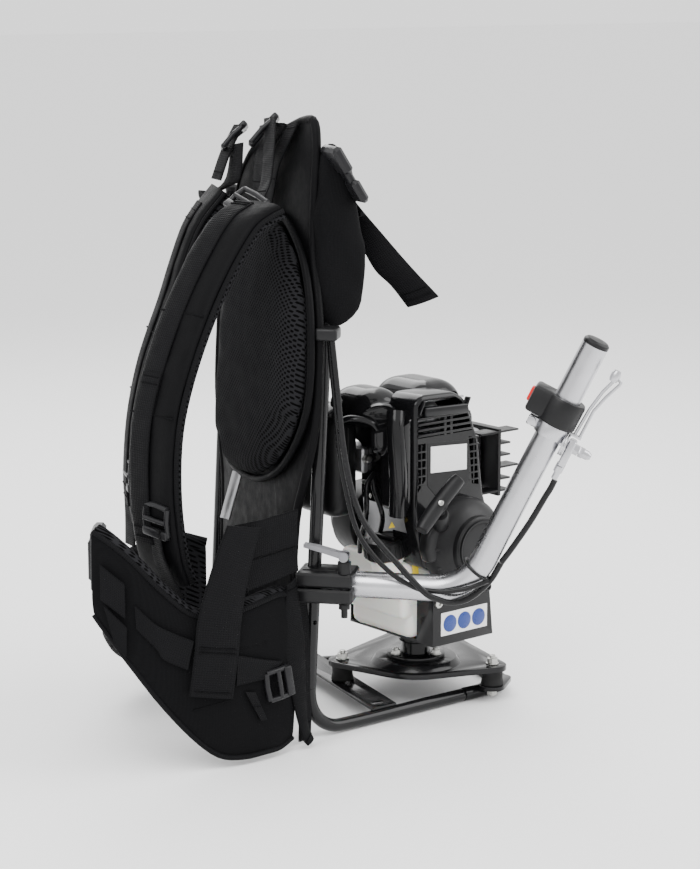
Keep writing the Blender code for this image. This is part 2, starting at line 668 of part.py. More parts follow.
def build_cables(looks):
    grip = [(226.4, 263.2), (222, 254), (217.7, 246.8), (204.2, 222.5), (187.8, 197), (178, 183)]
    cable("throttle_cable_handle", [handle_point(s, z) for s, z in grip], CABLE_R, looks["cable"])
    throttle = [(177.5, 182.1, 0), (168.9, 166.6, 0), (157.4, 154.2, -1), (145, 146, -5), (132.1, 145.4, -13.5),
                (121.8, 149.8, -20.5), (112.2, 155.4, -25.5), (98.4, 168.6, -26.5), (83.8, 184.1, -26),
                (56.5, 214.8, -24), (41.5, 246.9, -22), (32.2, 291, -20), (27.2, 335.2, -18.5),
                (24.2, 362, -17.5), (20.4, 397, -17)]
    switch = [(166, 166.2, -7.6), (158, 163.3, -12.2), (148, 160.2, -15.9), (137.3, 158.2, -17.2),
              (125.7, 156.6, -17.8), (112.2, 157, -18), (100.5, 159.1, -18.5), (79, 170.9, -19), (58.6, 189.6, -17),
              (43.7, 212.2, -15), (34.4, 244.2, -13), (27.4, 279.9, -10.5), (22.8, 324.8, -9), (19, 360.2, -8),
              (16.7, 391, -8)]
    cable("throttle_cable", [handle_point(*spot) for spot in throttle], CABLE_R, looks["cable"])
    cable("switch_cable", [handle_point(*spot) for spot in switch], WIRE_R, looks["cable"])


def lean_place(offset, crown=0.0):
    """A panel on the harness's leaning plane: u is Y, v is Z and depth goes towards the wearer."""

    def place(u, v, depth):
        return (upright_x(v) + offset - depth, u, v)

    return place


def build_harness(looks):
    cloth = looks["cloth"]
    panel = [(-112, 592), (-113, 522), (-113, 469), (-134, 410), (-138, 360), (-136, 305), (-118, 254),
             (-102, 211), (-98, 120), (-90, 70), (60, 70), (70, 120), (74, 211), (86, 254), (100, 305),
             (102, 360), (98, 410), (74, 469), (66, 522), (40, 560), (20, 576), (-30, 590)]
    node(slab(panel, lean_place(-8), 11), "back_panel", cloth)
    pad = [(-45, 497), (-80, 490), (-120, 455), (-140, 397), (-138, 325), (-95, 268), (-35, 240), (25, 240),
           (52, 254), (62, 287), (60, 358), (44, 424), (10, 470), (-20, 492)]
    node(slab(pad, lean_place(-19.5), 16), "back_pad", looks["mesh"])
    pocket = [(-71, 557), (-110, 535), (-112, 430), (-104, 408), (60, 408), (68, 430), (60, 532), (28, 557)]
    node(slab(pocket, lean_place(33), 24), "top_pocket", cloth)
    near = [(-18, -105, 520), (-44, -105, 514), (-70, -105, 497), (-98, -105, 455), (-123, -105, 402),
            (-142, -105, 348), (-151, -105, 302), (-152, -105, 246), (-146, -105, 197), (-138, -105, 172)]
    far = [(-17, 60, 508), (-46, 60, 472), (-72, 60, 402), (-94, 60, 344), (-107, 60, 285),
           (-111, 60, 225), (-107, 60, 188)]
    node(band(smooth_path(near, 2), (0.34, -0.94, 0), 62, 16), "shoulder_strap_near", cloth)
    node(band(smooth_path(far, 2), (-0.2, -0.98, 0), 52, 16), "shoulder_strap_far", cloth)
    build_belt(looks)
    bar = [Vector((-19, 20, 236)), Vector((-33, 20, 190))]
    node(band(bar, (0.3, -0.95, 0), 14, 3), "stay_bar", looks["steel"])
    buckle = fuse(
        box((-5, 5), (-16, 16), (-30, -2), 3),
        box((-3.5, 3.5), (-10, 10), (-10, 12), 2),
        box((-4.5, 4.5), (-15, 15), (6, 30), 3),
    )
    node(moved(buckle, towards((0.53, 0, -0.85), (27, -132, 540), 90)), "top_buckle", looks["black"])


def belt_wing(stations, thickness):
    """A waist-belt wing: stations of (x, y, low, high), lofted along the belt's run."""
    rings = []
    for i, (x, y, low, high) in enumerate(stations):
        before, after = stations[max(i - 1, 0)], stations[min(i + 1, len(stations) - 1)]
        course = Vector((after[0] - before[0], after[1] - before[1], 0)).normalized()
        out = Vector((course.y, -course.x, 0))
        ring_points = []
        for side, height in ((-1, 0.08), (-1, 0.92), (-0.6, 1.0), (0.6, 1.0), (1, 0.92), (1, 0.08), (0.6, 0), (-0.6, 0)):
            ring_points.append(Vector((x, y, low + (high - low) * height)) + out * side * thickness / 2)
        rings.append(ring_points)
    return loft(rings)


def build_belt(looks):
    near = [(-34, -135, 11, 153), (-50, -143, 6, 157), (-66, -149, 6, 155), (-90, -154, 6, 150),
            (-115, -156, 12, 146), (-140, -154, 34, 152), (-166, -149, 66, 176), (-190, -141, 102, 204),
            (-208, -131, 132, 222), (-218, -123, 150, 230)]
    far = [(-26, 90, 50, 150), (-60, 102, 30, 158), (-95, 96, 30, 150), (-125, 70, 50, 150),
           (-150, 30, 80, 160), (-165, -10, 100, 165)]
    node(belt_wing(near, 15), "belt_wing_near", looks["cloth"])
    node(belt_wing(far, 15), "belt_wing_far", looks["cloth"])
    buckle = fuse(box((-6, 6), (-20, 20), (-29, 29), 3), box((-8.5, 0), (-15, 15), (-19, 19), 2))
    place = Matrix.Translation((-203.5, -92, 195)) @ Matrix.Rotation(math.radians(-25), 4, "Z")
    node(moved(buckle, place), "belt_buckle", looks["black"])


def build():
    clear_scene()
    looks = {
        "gloss": look("gloss_black", (0.012, 0.012, 0.014), 0.2),
        "black": look("moulded_black", (0.02, 0.02, 0.022), 0.5),
        "rubber": look("rubber_black", (0.02, 0.02, 0.02), 0.8),
        "zinc": look("zinc_plate", (0.6, 0.6, 0.58), 0.3, 1.0),
        "steel": look("bare_steel", (0.5, 0.5, 0.5), 0.35, 1.0),
        "alloy": look("aluminium", (0.72, 0.72, 0.74), 0.3, 1.0),
        "tank": look("white_polythene", (0.85, 0.84, 0.78), 0.35),
        "bulb": look("clear_rubber", (0.5, 0.5, 0.45), 0.3),
        "red": look("signal_red", (0.75, 0.02, 0.02), 0.4),
        "grey": look("grey_moulding", (0.25, 0.25, 0.26), 0.4),
        "cable": look("cable_black", (0.015, 0.015, 0.017), 0.35),
        "cloth": look("black_cloth", (0.012, 0.012, 0.013), 0.9),
        "mesh": look("spacer_mesh", (0.015, 0.015, 0.016), 0.95),
    }
    build_frame(looks["gloss"])
    build_base(looks["gloss"], looks["rubber"], looks["zinc"])
    build_engine(looks)
    build_clamp(looks)
    build_handle(looks)
    build_cables(looks)
    build_harness(looks)
    for obj in bpy.data.objects:
        if not obj.parent:
            obj.location -= Vector((*FOOTPRINT_CENTRE, 0)) * MM


build()
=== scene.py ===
"""The looks of a backpack power unit for a concrete vibrator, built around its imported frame.

Sizes are in millimetres in the frame's own drawing axes, and three placing matrices carry them
to the shared frame in metres: DESIGN for the frame and harness, ENGINE for what turns on the
swivel, and HANDLE for what stands in the handle's plane.
"""

from __future__ import annotations

import logging
import math
from collections.abc import Callable, Iterator
from contextlib import contextmanager
from dataclasses import dataclass
from enum import Enum

import bpy
from mathutils import Matrix, Vector


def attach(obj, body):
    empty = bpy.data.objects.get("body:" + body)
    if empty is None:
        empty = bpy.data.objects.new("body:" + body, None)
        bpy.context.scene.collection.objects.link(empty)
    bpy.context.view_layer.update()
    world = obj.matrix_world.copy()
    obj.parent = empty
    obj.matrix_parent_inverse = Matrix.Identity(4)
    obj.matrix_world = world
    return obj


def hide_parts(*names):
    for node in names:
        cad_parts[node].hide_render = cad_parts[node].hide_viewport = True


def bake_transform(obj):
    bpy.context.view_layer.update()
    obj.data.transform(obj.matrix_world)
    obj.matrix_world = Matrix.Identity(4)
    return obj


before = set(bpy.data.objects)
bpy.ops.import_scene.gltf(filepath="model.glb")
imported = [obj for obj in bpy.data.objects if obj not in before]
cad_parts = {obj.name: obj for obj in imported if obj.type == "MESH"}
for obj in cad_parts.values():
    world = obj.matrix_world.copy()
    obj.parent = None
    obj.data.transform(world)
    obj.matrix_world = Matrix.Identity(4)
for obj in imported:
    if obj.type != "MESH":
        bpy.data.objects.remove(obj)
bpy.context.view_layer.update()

LOG = logging.getLogger("power_unit")
FILLING_STEPS = 20
MM = 0.001
FOOTPRINT_CENTRE = Vector((18.3, -81.15, 0.0))
LEAN = 0.05
LEAN_PIVOT_Z = 140.0
HALF_WIDTH = 118.0
DESIGN = Matrix.Scale(MM, 4) @ Matrix.Translation(-FOOTPRINT_CENTRE)
ENGINE = DESIGN @ Matrix.Translation((150.0, -35.0, 0.0)) @ Matrix.Rotation(math.radians(15.0), 4, "Z")
HANDLE = DESIGN @ Matrix.Translation((0.75, -HALF_WIDTH, 0.0)) @ Matrix.Rotation(math.radians(-36.0), 4, "Z")
HANDLE_RISE = math.radians(64.0)
ON_TUBE_START = Vector((146.8, 0.0, 155.0))
THROTTLE_AT = 173.0


def upright_x(z: float) -> float:
    """X of an upright's centre at a height."""
    return LEAN * (z - LEAN_PIVOT_Z)


def on_tube(along: float) -> Matrix:
    """Axes on the handle's rising leg.

    Args:
        along: Distance up the leg from where its centreline would meet the level one.

    Returns:
        A placing matrix: +Z up the tube and +X out to its upper left.
    """
    axis = Vector((math.cos(HANDLE_RISE), 0.0, math.sin(HANDLE_RISE)))
    out = Vector((-math.sin(HANDLE_RISE), 0.0, math.cos(HANDLE_RISE)))
    rows = Matrix((out, axis.cross(out), axis)).transposed().to_4x4()
    rows.translation = ON_TUBE_START + axis * along
    return HANDLE @ rows


def towards(axis: tuple, at: tuple = (0.0, 0.0, 0.0), turn: float = 0.0) -> Matrix:
    """Axes with +Z along a direction.

    Args:
        axis: The direction.
        at: Where they stand.
        turn: Degrees that they are turned about it.

    Returns:
        The placing matrix.
    """
    matrix = Vector(axis).to_track_quat("Z", "Y").to_matrix().to_4x4()
    matrix = matrix @ Matrix.Rotation(math.radians(turn), 4, "Z")
    matrix.translation = Vector(at)
    return matrix


# ---------------------------------------------------------------- finishes


class Wire:
    """One output socket of a node tree, with arithmetic that adds Math nodes."""

    def __init__(self, tree: bpy.types.NodeTree, socket: bpy.types.NodeSocket) -> None:
        """Holds a socket and the tree it belongs to."""
        self.tree = tree
        self.socket = socket

    def maths(self, operation: str, other: Wire | float | None = None, swapped: bool = False) -> Wire:
        """Adds a Math node.

        Args:
            operation: The Math node's operation.
            other: The second value, a wire or a number.
            swapped: Whether the second value goes first.

        Returns:
            The node's output.
        """
        node = self.tree.nodes.new("ShaderNodeMath")
        node.operation = operation
        first, second = (1, 0) if swapped else (0, 1)
        self.tree.links.new(self.socket, node.inputs[first])
        if isinstance(other, Wire):
            self.tree.links.new(other.socket, node.inputs[second])
        elif other is not None:
            node.inputs[second].default_value = other
        return Wire(self.tree, node.outputs[0])

    def __add__(self, other: Wire | float) -> Wire:
        """Sum."""
        return self.maths("ADD", other)

    __radd__ = __add__

    def __sub__(self, other: Wire | float) -> Wire:
        """Difference."""
        return self.maths("SUBTRACT", other)

    def __rsub__(self, other: float) -> Wire:
        """Difference from a number."""
        return self.maths("SUBTRACT", other, swapped=True)

    def __mul__(self, other: Wire | float) -> Wire:
        """Product."""
        return self.maths("MULTIPLY", other)

    __rmul__ = __mul__

    def sine(self) -> Wire:
        """Sine of an angle in radians."""
        return self.maths("SINE")

    def kept(self) -> Wire:
        """The value held between nought and one."""
        wire = self.maths("ADD", 0.0)
        wire.socket.node.use_clamp = True
        return wire


class Bench:
    """Builds one material's node tree."""

    def __init__(self, name: str) -> None:
        """Makes an empty material with an output."""
        self.material = bpy.data.materials.new(name)
        self.material.use_nodes = True
        self.tree = self.material.node_tree
        self.tree.nodes.clear()

    def node(self, kind: str, settings: dict | None = None, **sockets: object) -> bpy.types.Node:
        """Adds a node.

        Args:
            kind: The node's type, without its ShaderNode prefix.
            settings: Attributes, set first; "stops" sets a ramp's (place, value) pairs.
            sockets: Values or wires of inputs, by name with underscores for spaces.

        Returns:
            The node.
        """
        node = self.tree.nodes.new("ShaderNode" + kind)
        for key, value in (settings or {}).items():
            if key == "stops":
                for stop, (place, grey) in zip(node.color_ramp.elements, value):
                    stop.position = place
                    stop.color = (grey, grey, grey, 1.0)
            else:
                setattr(node, key, value)
        for key, value in sockets.items():
            target = node.inputs[key.replace("_", " ")]
            if isinstance(value, Wire):
                self.tree.links.new(value.socket, target)
            elif isinstance(value, bpy.types.NodeSocket):
                self.tree.links.new(value, target)
            else:
                target.default_value = value
        return node

    def wire(self, node: bpy.types.Node, output: str | int = 0) -> Wire:
        """One output of a node as a wire."""
        return Wire(self.tree, node.outputs[output])

    def place(self, own: bool = False) -> bpy.types.NodeSocket:
        """Object coordinates, or the piece's own UV map."""
        return self.node("TexCoord").outputs["UV" if own else "Object"]

    def axes(self, own: bool = False) -> tuple[Wire, Wire, Wire]:
        """The three coordinates apart, in metres; own picks the piece's UV map."""
        split = self.node("SeparateXYZ", Vector=self.place(own))
        return self.wire(split, 0), self.wire(split, 1), self.wire(split, 2)

    def noise(self, scale: float, detail: float = 3.0, own: bool = False) -> Wire:
        """Fractal noise, scale in cycles a metre."""
        node = self.node("TexNoise", None, Vector=self.place(own), Scale=scale, Detail=detail)
        return self.wire(node, "Fac" if "Fac" in node.outputs else 0)

    def spread(self, value: Wire, low: float, high: float) -> Wire:
        """Noise about one half, spread to run from low to high."""
        return low + (high - low) * ((value - 0.5) * 2.2 + 0.5).kept()

    def tint(self, mask: Wire, dark: tuple, light: tuple) -> bpy.types.NodeSocket:
        """A colour between two.

        Args:
            mask: How far it goes from the first to the second, from 0 to 1.
            dark: The first colour.
            light: The second colour.

        Returns:
            The mixed colour's socket.
        """
        mix = self.node("Mix", {"data_type": "RGBA"})
        self.tree.links.new(mask.socket, mix.inputs[0])
        mix.inputs[6].default_value = (*dark, 1.0)
        mix.inputs[7].default_value = (*light, 1.0)
        return mix.outputs[2]

    def bump(self, height: Wire, depth: float, strength: float = 1.0) -> bpy.types.NodeSocket:
        """A bump of that depth in metres."""
        return self.node("Bump", None, Height=height, Distance=depth, Strength=strength).outputs[0]

    def close(self, **sockets: object) -> bpy.types.Material:
        """Adds the shader and joins it to the output.

        Args:
            sockets: Values or wires of the shader's inputs.

        Returns:
            The finished material.
        """
        shader = self.node("BsdfPrincipled", None, **sockets)
        out = self.node("OutputMaterial")
        self.tree.links.new(shader.outputs[0], out.inputs[0])
        return self.material


CLOTH_SHINE = 0.06


class Look(Enum):
    """How a finish's surface is drawn."""

    PAINT = "paint"
    MOULDED = "moulded"
    METAL = "metal"
    CLOTH = "cloth"
    SATIN = "satin"
    MESH = "mesh"
    WEBBING = "webbing"
    CLEAR = "clear"
    FLAT = "flat"


# For each plain look: its patches' scale and detail, their darkest and lightest shade, the
# wear's scale, its least and most roughness, and the shader's other inputs.
PLAIN_LOOKS = {
    Look.PAINT: ((28.0, 5.0), (0.8, 1.5), 60.0, (0.7, 1.5),
                 {"Coat_Weight": 0.08, "Coat_Roughness": 0.06, "Specular_IOR_Level": 0.22}),
    Look.MOULDED: ((45.0, 4.0), (0.75, 1.45), 130.0, (0.8, 1.2), {"Specular_IOR_Level": 0.22}),
    Look.CLEAR: ((18.0, 3.0), (0.9, 1.05), 90.0, (0.8, 1.2),
                 {"Subsurface_Weight": 0.35, "Subsurface_Scale": 0.01}),
    Look.FLAT: ((70.0, 4.0), (0.9, 1.05), 150.0, (0.8, 1.2), {}),
}


@dataclass(frozen=True)
class Finish:
    """One finish: its slot in the record, its colour and how its surface is drawn."""

    name: str
    slot: str
    look: Look
    colour: tuple
    rough: float
    grain: float = 400.0
    depth: float = 0.00005

    def material(self) -> bpy.types.Material:
        """The finish's material, made at its first use."""
        found = bpy.data.materials.get("look_" + self.name)
        if found:
            return found
        draw = {
            Look.METAL: self.metal, Look.CLOTH: self.cloth, Look.SATIN: self.satin,
            Look.MESH: self.mesh, Look.WEBBING: self.webbing,
        }
        return draw.get(self.look, self.plain)(Bench("look_" + self.name))

    def surface(self, bench: Bench, tone: Wire, shades: tuple, wear: Wire, spans: tuple,
                relief: Wire, **more: object) -> bpy.types.Material:
        """Closes a material whose colour, roughness and relief vary.

        Args:
            bench: The material's bench.
            tone: The mask that runs from the darker to the lighter shade.
            shades: What the colour is multiplied by at either end.
            wear: The mask of the roughness.
            spans: What the roughness is multiplied by at either end.
            relief: The height of the bump.
            more: Other inputs of the shader.

        Returns:
            The material.
        """
        dark, light = (tuple(min(c * shade, 1.0) for c in self.colour) for shade in shades)
        low, high = (min(self.rough * span, 1.0) for span in spans)
        return bench.close(
            Base_Color=bench.tint(tone, dark, light), Roughness=bench.spread(wear, low, high),
            Normal=bench.bump(relief, self.depth), **more,
        )

    def plain(self, bench: Bench) -> bpy.types.Material:
        """Paint, moulding or print: soft patches of shade and wear over a fine grain.

        Args:
            bench: The material's bench.

        Returns:
            The material.
        """
        (scale, detail), shades, wear, spans, more = PLAIN_LOOKS[self.look]
        return self.surface(
            bench, bench.noise(scale, detail), shades, bench.noise(wear), spans,
            bench.noise(self.grain, 2.0), **more,
        )

    def metal(self, bench: Bench) -> bpy.types.Material:
        """Bare metal with fine scratches and patches of handling.

        Args:
            bench: The material's bench.

        Returns:
            The material.
        """
        grain = bench.noise(self.grain, 4.0)
        patch = bench.noise(35.0, 3.0)
        wear = patch * 0.5 + grain * 0.5
        return self.surface(bench, patch, (0.82, 1.1), wear, (0.75, 1.35), grain, Metallic=1.0)

    def weave(self, bench: Bench, pitch: float) -> Wire:
        """Two yarn directions, over and under, in the piece's own axes.

        Args:
            bench: The material's bench.
            pitch: Spacing of the yarns in metres.

        Returns:
            The weave's height, from 0 to 1.
        """
        x, y, z = bench.axes()
        turn = 2 * math.pi / pitch
        warp = ((x * 0.6 + y) * turn).sine()
        weft = (z * turn).sine()
        return 0.5 + 0.25 * (warp + weft)

    def cloth(self, bench: Bench) -> bpy.types.Material:
        """Heavy woven nylon with a soft sheen and lighter, rubbed patches.

        Args:
            bench: The material's bench.

        Returns:
            The material.
        """
        yarn = self.weave(bench, 0.0016)
        rub = bench.noise(22.0, 5.0)
        return self.surface(
            bench, (rub * 0.65 + yarn * 0.35).kept(), (0.7, 1.6), rub, (0.9, 1.1),
            yarn * 0.6 + bench.noise(self.grain, 3.0) * 0.4, Specular_IOR_Level=CLOTH_SHINE,
        )

    def satin(self, bench: Bench) -> bpy.types.Material:
        """Smooth coated cloth: tight weave and small puckers, with broad soft highlights painted lighter in
        the colour where the puckers rise.

        Args:
            bench: The material's bench.

        Returns:
            The material.
        """
        pucker_and_painted_highlight = bench.noise(90.0, 3.0)
        relief = pucker_and_painted_highlight * 0.8 + self.weave(bench, 0.0011) * 0.2
        # The pucker noise raises the bump and also lightens the colour where it rises: a painted highlight.
        return self.surface(
            bench, pucker_and_painted_highlight, (0.8, 1.4), pucker_and_painted_highlight, (0.85, 1.15), relief, Specular_IOR_Level=CLOTH_SHINE,
        )

    def mesh(self, bench: Bench) -> bpy.types.Material:
        """Spacer mesh: rows of small holes through a springy knit, the holes painted near black as painted
        shade.

        Args:
            bench: The material's bench.

        Returns:
            The material.
        """
        x, y, z = bench.axes()
        turn = 2 * math.pi / 0.0052
        lattice = ((x * 0.6 + y) * turn).sine() * ((z + x * 0.45) * turn).sine()
        # rim is 0 in the holes and 1 on the knit; the holes' near-black colour is painted shade.
        rim = ((0.42 - lattice) * 3.5).kept()
        return self.surface(
            bench, rim, (0.1, 3.6), bench.noise(60.0), (0.9, 1.0 / self.rough), rim,
            Specular_IOR_Level=CLOTH_SHINE,
        )

    def webbing(self, bench: Bench) -> bpy.types.Material:
        """Woven tape with ribs across it and yarns along it.

        Args:
            bench: The material's bench.

        Returns:
            The material.
        """
        across, along, _ = bench.axes(own=True)
        rib = (along * (2 * math.pi / 0.0022)).sine()
        yarn = (across * (2 * math.pi / 0.0016)).sine()
        tone = (0.5 + 0.3 * rib + 0.2 * yarn).kept()
        return self.surface(
            bench, (tone * 0.5 + bench.noise(40.0, 4.0) * 0.5).kept(), (0.7, 1.6), bench.noise(80.0),
            (0.85, 1.15), tone, Specular_IOR_Level=CLOTH_SHINE,
        )


GLOSS = Finish("gloss_black", "gloss_black", Look.PAINT, (0.005, 0.005, 0.0055), 0.18, 500.0, 0.00002)
COVER = Finish("cover_black", "cover_black", Look.PAINT, (0.005, 0.005, 0.0055), 0.12, 200.0, 0.00002)
MOULDED = Finish("moulded_black", "moulded_black", Look.MOULDED, (0.007, 0.007, 0.0075), 0.38, 1500.0)
RUBBER = Finish("rubber_black", "rubber_black", Look.MOULDED, (0.006, 0.006, 0.006), 0.65, 900.0, 0.00005)
ZINC = Finish("zinc", "zinc", Look.METAL, (0.45, 0.45, 0.43), 0.28, 300.0, 0.00002)
STEEL = Finish("steel", "steel", Look.METAL, (0.4, 0.4, 0.41), 0.34, 500.0, 0.00004)
BRIGHT = Finish("bright_tube", "alloy", Look.METAL, (0.52, 0.52, 0.54), 0.27, 90.0, 0.000004)
CAST = Finish("cast_alloy", "alloy", Look.METAL, (0.4, 0.4, 0.41), 0.42, 900.0, 0.00012)
POLY = Finish("white_poly", "white_poly", Look.CLEAR, (0.83, 0.82, 0.77), 0.34, 260.0, 0.00006)
BULB = Finish("clear_rubber", "clear_rubber", Look.CLEAR, (0.42, 0.41, 0.34), 0.22, 260.0, 0.00003)
RED = Finish("red", "red", Look.MOULDED, (0.62, 0.012, 0.012), 0.36, 900.0, 0.00003)
GREY = Finish("grey", "grey", Look.MOULDED, (0.17, 0.17, 0.18), 0.38, 1200.0, 0.00004)
CABLE = Finish("cable_black", "cable_black", Look.MOULDED, (0.006, 0.006, 0.0065), 0.28, 700.0, 0.00003)
CLOTH = Finish("cloth", "cloth", Look.CLOTH, (0.0034, 0.0034, 0.0038), 0.85, 500.0, 0.00025)
SATIN = Finish("satin_cloth", "cloth", Look.SATIN, (0.0030, 0.0030, 0.0034), 0.5, 500.0, 0.0006)
NET = Finish("mesh", "mesh", Look.MESH, (0.0040, 0.0040, 0.0044), 0.9, 300.0, 0.0012)
TAPE = Finish("webbing", "cloth", Look.WEBBING, (0.0042, 0.0042, 0.0047), 0.6, 300.0, 0.0004)
BUCKLE = Finish("buckle", "moulded_black", Look.MOULDED, (0.009, 0.009, 0.010), 0.3, 900.0, 0.00004)
WHITE = Finish("blank_plate", "white_poly", Look.FLAT, (0.78, 0.78, 0.78), 0.35, 200.0, 0.00001)
BLUE = Finish("blue_disc", "grey", Look.FLAT, (0.004, 0.03, 0.2), 0.3, 200.0, 0.00001)
YELLOW = Finish("yellow_tag", "grey", Look.FLAT, (0.75, 0.55, 0.03), 0.4, 200.0, 0.00001)


# ---------------------------------------------------------------- mesh work


def bare() -> None:
    """Leaves nothing selected."""
    bpy.ops.object.select_all(action="DESELECT")


def take(obj: bpy.types.Object) -> bpy.types.Object:
    """Makes one object the only selected and active one.

    Args:
        obj: The object.

    Returns:
        The same object.
    """
    bare()
    obj.select_set(True)
    bpy.context.view_layer.objects.active = obj
    return obj


@contextmanager
def editing(obj: bpy.types.Object) -> Iterator[None]:
    """Edit mode with the whole mesh selected.

    Args:
        obj: The piece to edit.

    Yields:
        Nothing, once edit mode is on.
    """
    take(obj)
    bpy.ops.object.mode_set(mode="EDIT")
    bpy.ops.mesh.select_all(action="SELECT")
    yield
    bpy.ops.object.mode_set(mode="OBJECT")


def oval(count: int, square: tuple) -> list[tuple[float, float, float]]:
    """Points round a squared-off oval of half width and half height one.

    Args:
        count: How many.
        square: Powers of the cosine and the sine, lower for squarer.

    Returns:
        The cosine and sine raised to their powers, and the plain cosine.
    """
    spots = []
    for k in range(count):
        angle = 2 * math.pi * k / count
        c, s = math.cos(angle), math.sin(angle)
        spots.append((math.copysign(abs(c) ** square[0], c), math.copysign(abs(s) ** square[1], s), c))
    return spots


def facings(path: list, across: Vector | None = None) -> list[Vector]:
    """Directions square to a path, one for each point.

    Args:
        path: The path.
        across: What they are also square to; the vertical where it is left out.

    Returns:
        The directions.
    """
    outs = []
    for i in range(len(path)):
        course = (path[min(i + 1, len(path) - 1)] - path[max(i - 1, 0)]).normalized()
        flat = Vector((-course.y, course.x, 0.0))
        outs.append(flat if across is None else course.cross(across).normalized())
    return outs


def made(points: list, faces: list, maps: list | None = None) -> bpy.types.Object:
    """A mesh object from points in metres.

    Args:
        points: The vertices.
        faces: The faces, as indices.
        maps: UV places for each face's corners.

    Returns:
        The object, at the origin.
    """
    mesh = bpy.data.meshes.new("piece")
    mesh.from_pydata([tuple(p) for p in points], [], faces)
    if maps:
        layer = mesh.uv_layers.new(name="UVMap")
        for place, uv in zip(layer.data, maps):
            place.uv = uv
    obj = bpy.data.objects.new("piece", mesh)
    bpy.context.scene.collection.objects.link(obj)
    return obj


def outward(obj: bpy.types.Object, within: float = 1e-6) -> bpy.types.Object:
    """Merges doubles and turns every face outwards.

    Args:
        obj: The piece.
        within: Distance under which two points are one.

    Returns:
        The same piece.
    """
    with editing(obj):
        bpy.ops.mesh.remove_doubles(threshold=within)
        bpy.ops.mesh.normals_make_consistent(inside=False)
    return obj


def smooth_path(points: list, steps: int = 4, looped: bool = False) -> list[Vector]:
    """Points on a smooth curve through the given ones.

    Args:
        points: The curve's own points.
        steps: Stretches between two of them.
        looped: Whether the last joins the first.

    Returns:
        The curve's points.
    """
    points = [Vector(p) for p in points]
    if looped:
        padded = [points[-1], *points, points[0], points[1]]
    else:
        padded = [2 * points[0] - points[1], *points, 2 * points[-1] - points[-2]]
    path = []
    for a, b, c, d in zip(padded, padded[1:], padded[2:], padded[3:]):
        for i in range(steps):
            t = i / steps
            path.append(0.5 * (2 * b + (c - a) * t + (2 * a - 5 * b + 4 * c - d) * t**2
                               + (3 * b - a - 3 * c + d) * t**3))
    return path if looped else [*path, points[-1]]


def skin(rings: list, looped: bool = False) -> bpy.types.Object:
    """A closed skin over rings of equal count, with a UV map in metres.

    Args:
        rings: Lists of points in metres.
        looped: Whether the last ring joins the first; else each end gets a cap.

    Returns:
        The object.
    """
    count = len(rings[0])
    points = [p for ring in rings for p in ring]
    middles = [sum(ring, Vector()) / count for ring in rings]
    along = [0.0]
    for a, b in zip(middles, middles[1:]):
        along.append(along[-1] + (b - a).length)
    girth = max(sum((ring[i] - ring[i - 1]).length for i in range(count)) for ring in rings)
    faces, maps = [], []
    pairs = list(range(len(rings) - 1)) + ([len(rings) - 1] if looped else [])
    for k in pairs:
        after = (k + 1) % len(rings)
        end = along[k + 1] if k + 1 < len(along) else along[k] + (middles[0] - middles[k]).length
        for i in range(count):
            j = (i + 1) % count
            faces.append((k * count + i, k * count + j, after * count + j, after * count + i))
            low, high = girth * i / count, girth * (i + 1) / count
            maps += [(low, along[k]), (high, along[k]), (high, end), (low, end)]
    if not looped:
        last = (len(rings) - 1) * count
        faces += [tuple(reversed(range(count))), tuple(range(last, last + count))]
        for ring in (rings[0][::-1], rings[-1]):
            maps += [(0.001 * i, 0.0) for i in range(len(ring))]
    return outward(made(points, faces, maps))


def sweep(path: list, radius: float | list, sides: int = 14, place: Matrix = DESIGN,
          looped: bool = False, flat: float = 1.0) -> bpy.types.Object:
    """A round bar along a path.

    Args:
        path: Points in the placing matrix's millimetres.
        radius: One radius, or one for each point.
        sides: Sides of the section.
        place: The placing matrix.
        looped: Whether the path closes on itself.
        flat: Height of the section over its width.

    Returns:
        The bar.
    """
    path = [Vector(p) for p in path]
    radii = radius if isinstance(radius, list) else [radius] * len(path)
    count = len(path)
    courses = []
    for i in range(count):
        after = path[(i + 1) % count] if looped or i + 1 < count else path[i]
        before = path[i - 1] if looped or i else path[i]
        courses.append((after - before).normalized())
    side = courses[0].orthogonal().normalized()
    rings = []
    for point, course, r in zip(path, courses, radii):
        side = (side - course * side.dot(course)).normalized()
        up = course.cross(side)
        rings.append([
            place @ (point + (side * math.cos(a) + up * math.sin(a) * flat) * r)
            for a in (2 * math.pi * k / sides for k in range(sides))
        ])
    return skin(rings, looped)


def strip(left: list, right: list, thick: float = 1.6, lift: float = 0.0, place: Matrix = DESIGN,
          steps: int = 4, wave: float = 0.0) -> bpy.types.Object:
    """A flat tape between two edges.

    Args:
        left: Points along one edge.
        right: As many points along the other.
        thick: The tape's thickness.
        lift: How far it stands off the edges' own surface.
        place: The placing matrix.
        steps: Stretches between two points.
        wave: How far the tape cups across its width.

    Returns:
        The tape.
    """
    lefts, rights = smooth_path(left, steps), smooth_path(right, steps)
    rings = []
    for i, (a, b) in enumerate(zip(lefts, rights)):
        before = (lefts[max(i - 1, 0)] + rights[max(i - 1, 0)]) / 2
        top = min(i + 1, len(lefts) - 1)
        course = ((lefts[top] + rights[top]) / 2 - before).normalized()
        out = course.cross(b - a).normalized()
        across = (0.0, 0.04, 0.27, 0.5, 0.73, 0.96, 1.0)
        half = (0.25, 0.5, 0.5, 0.5, 0.5, 0.5, 0.25)
        ring = []
        for sign, order in ((1, range(7)), (-1, range(6, -1, -1))):
            for k in order:
                cup = wave * math.sin(math.pi * across[k])
                ring.append(place @ (a.lerp(b, across[k]) + out * (lift + cup + sign * half[k] * thick)))
        rings.append(ring)
    return skin(rings)


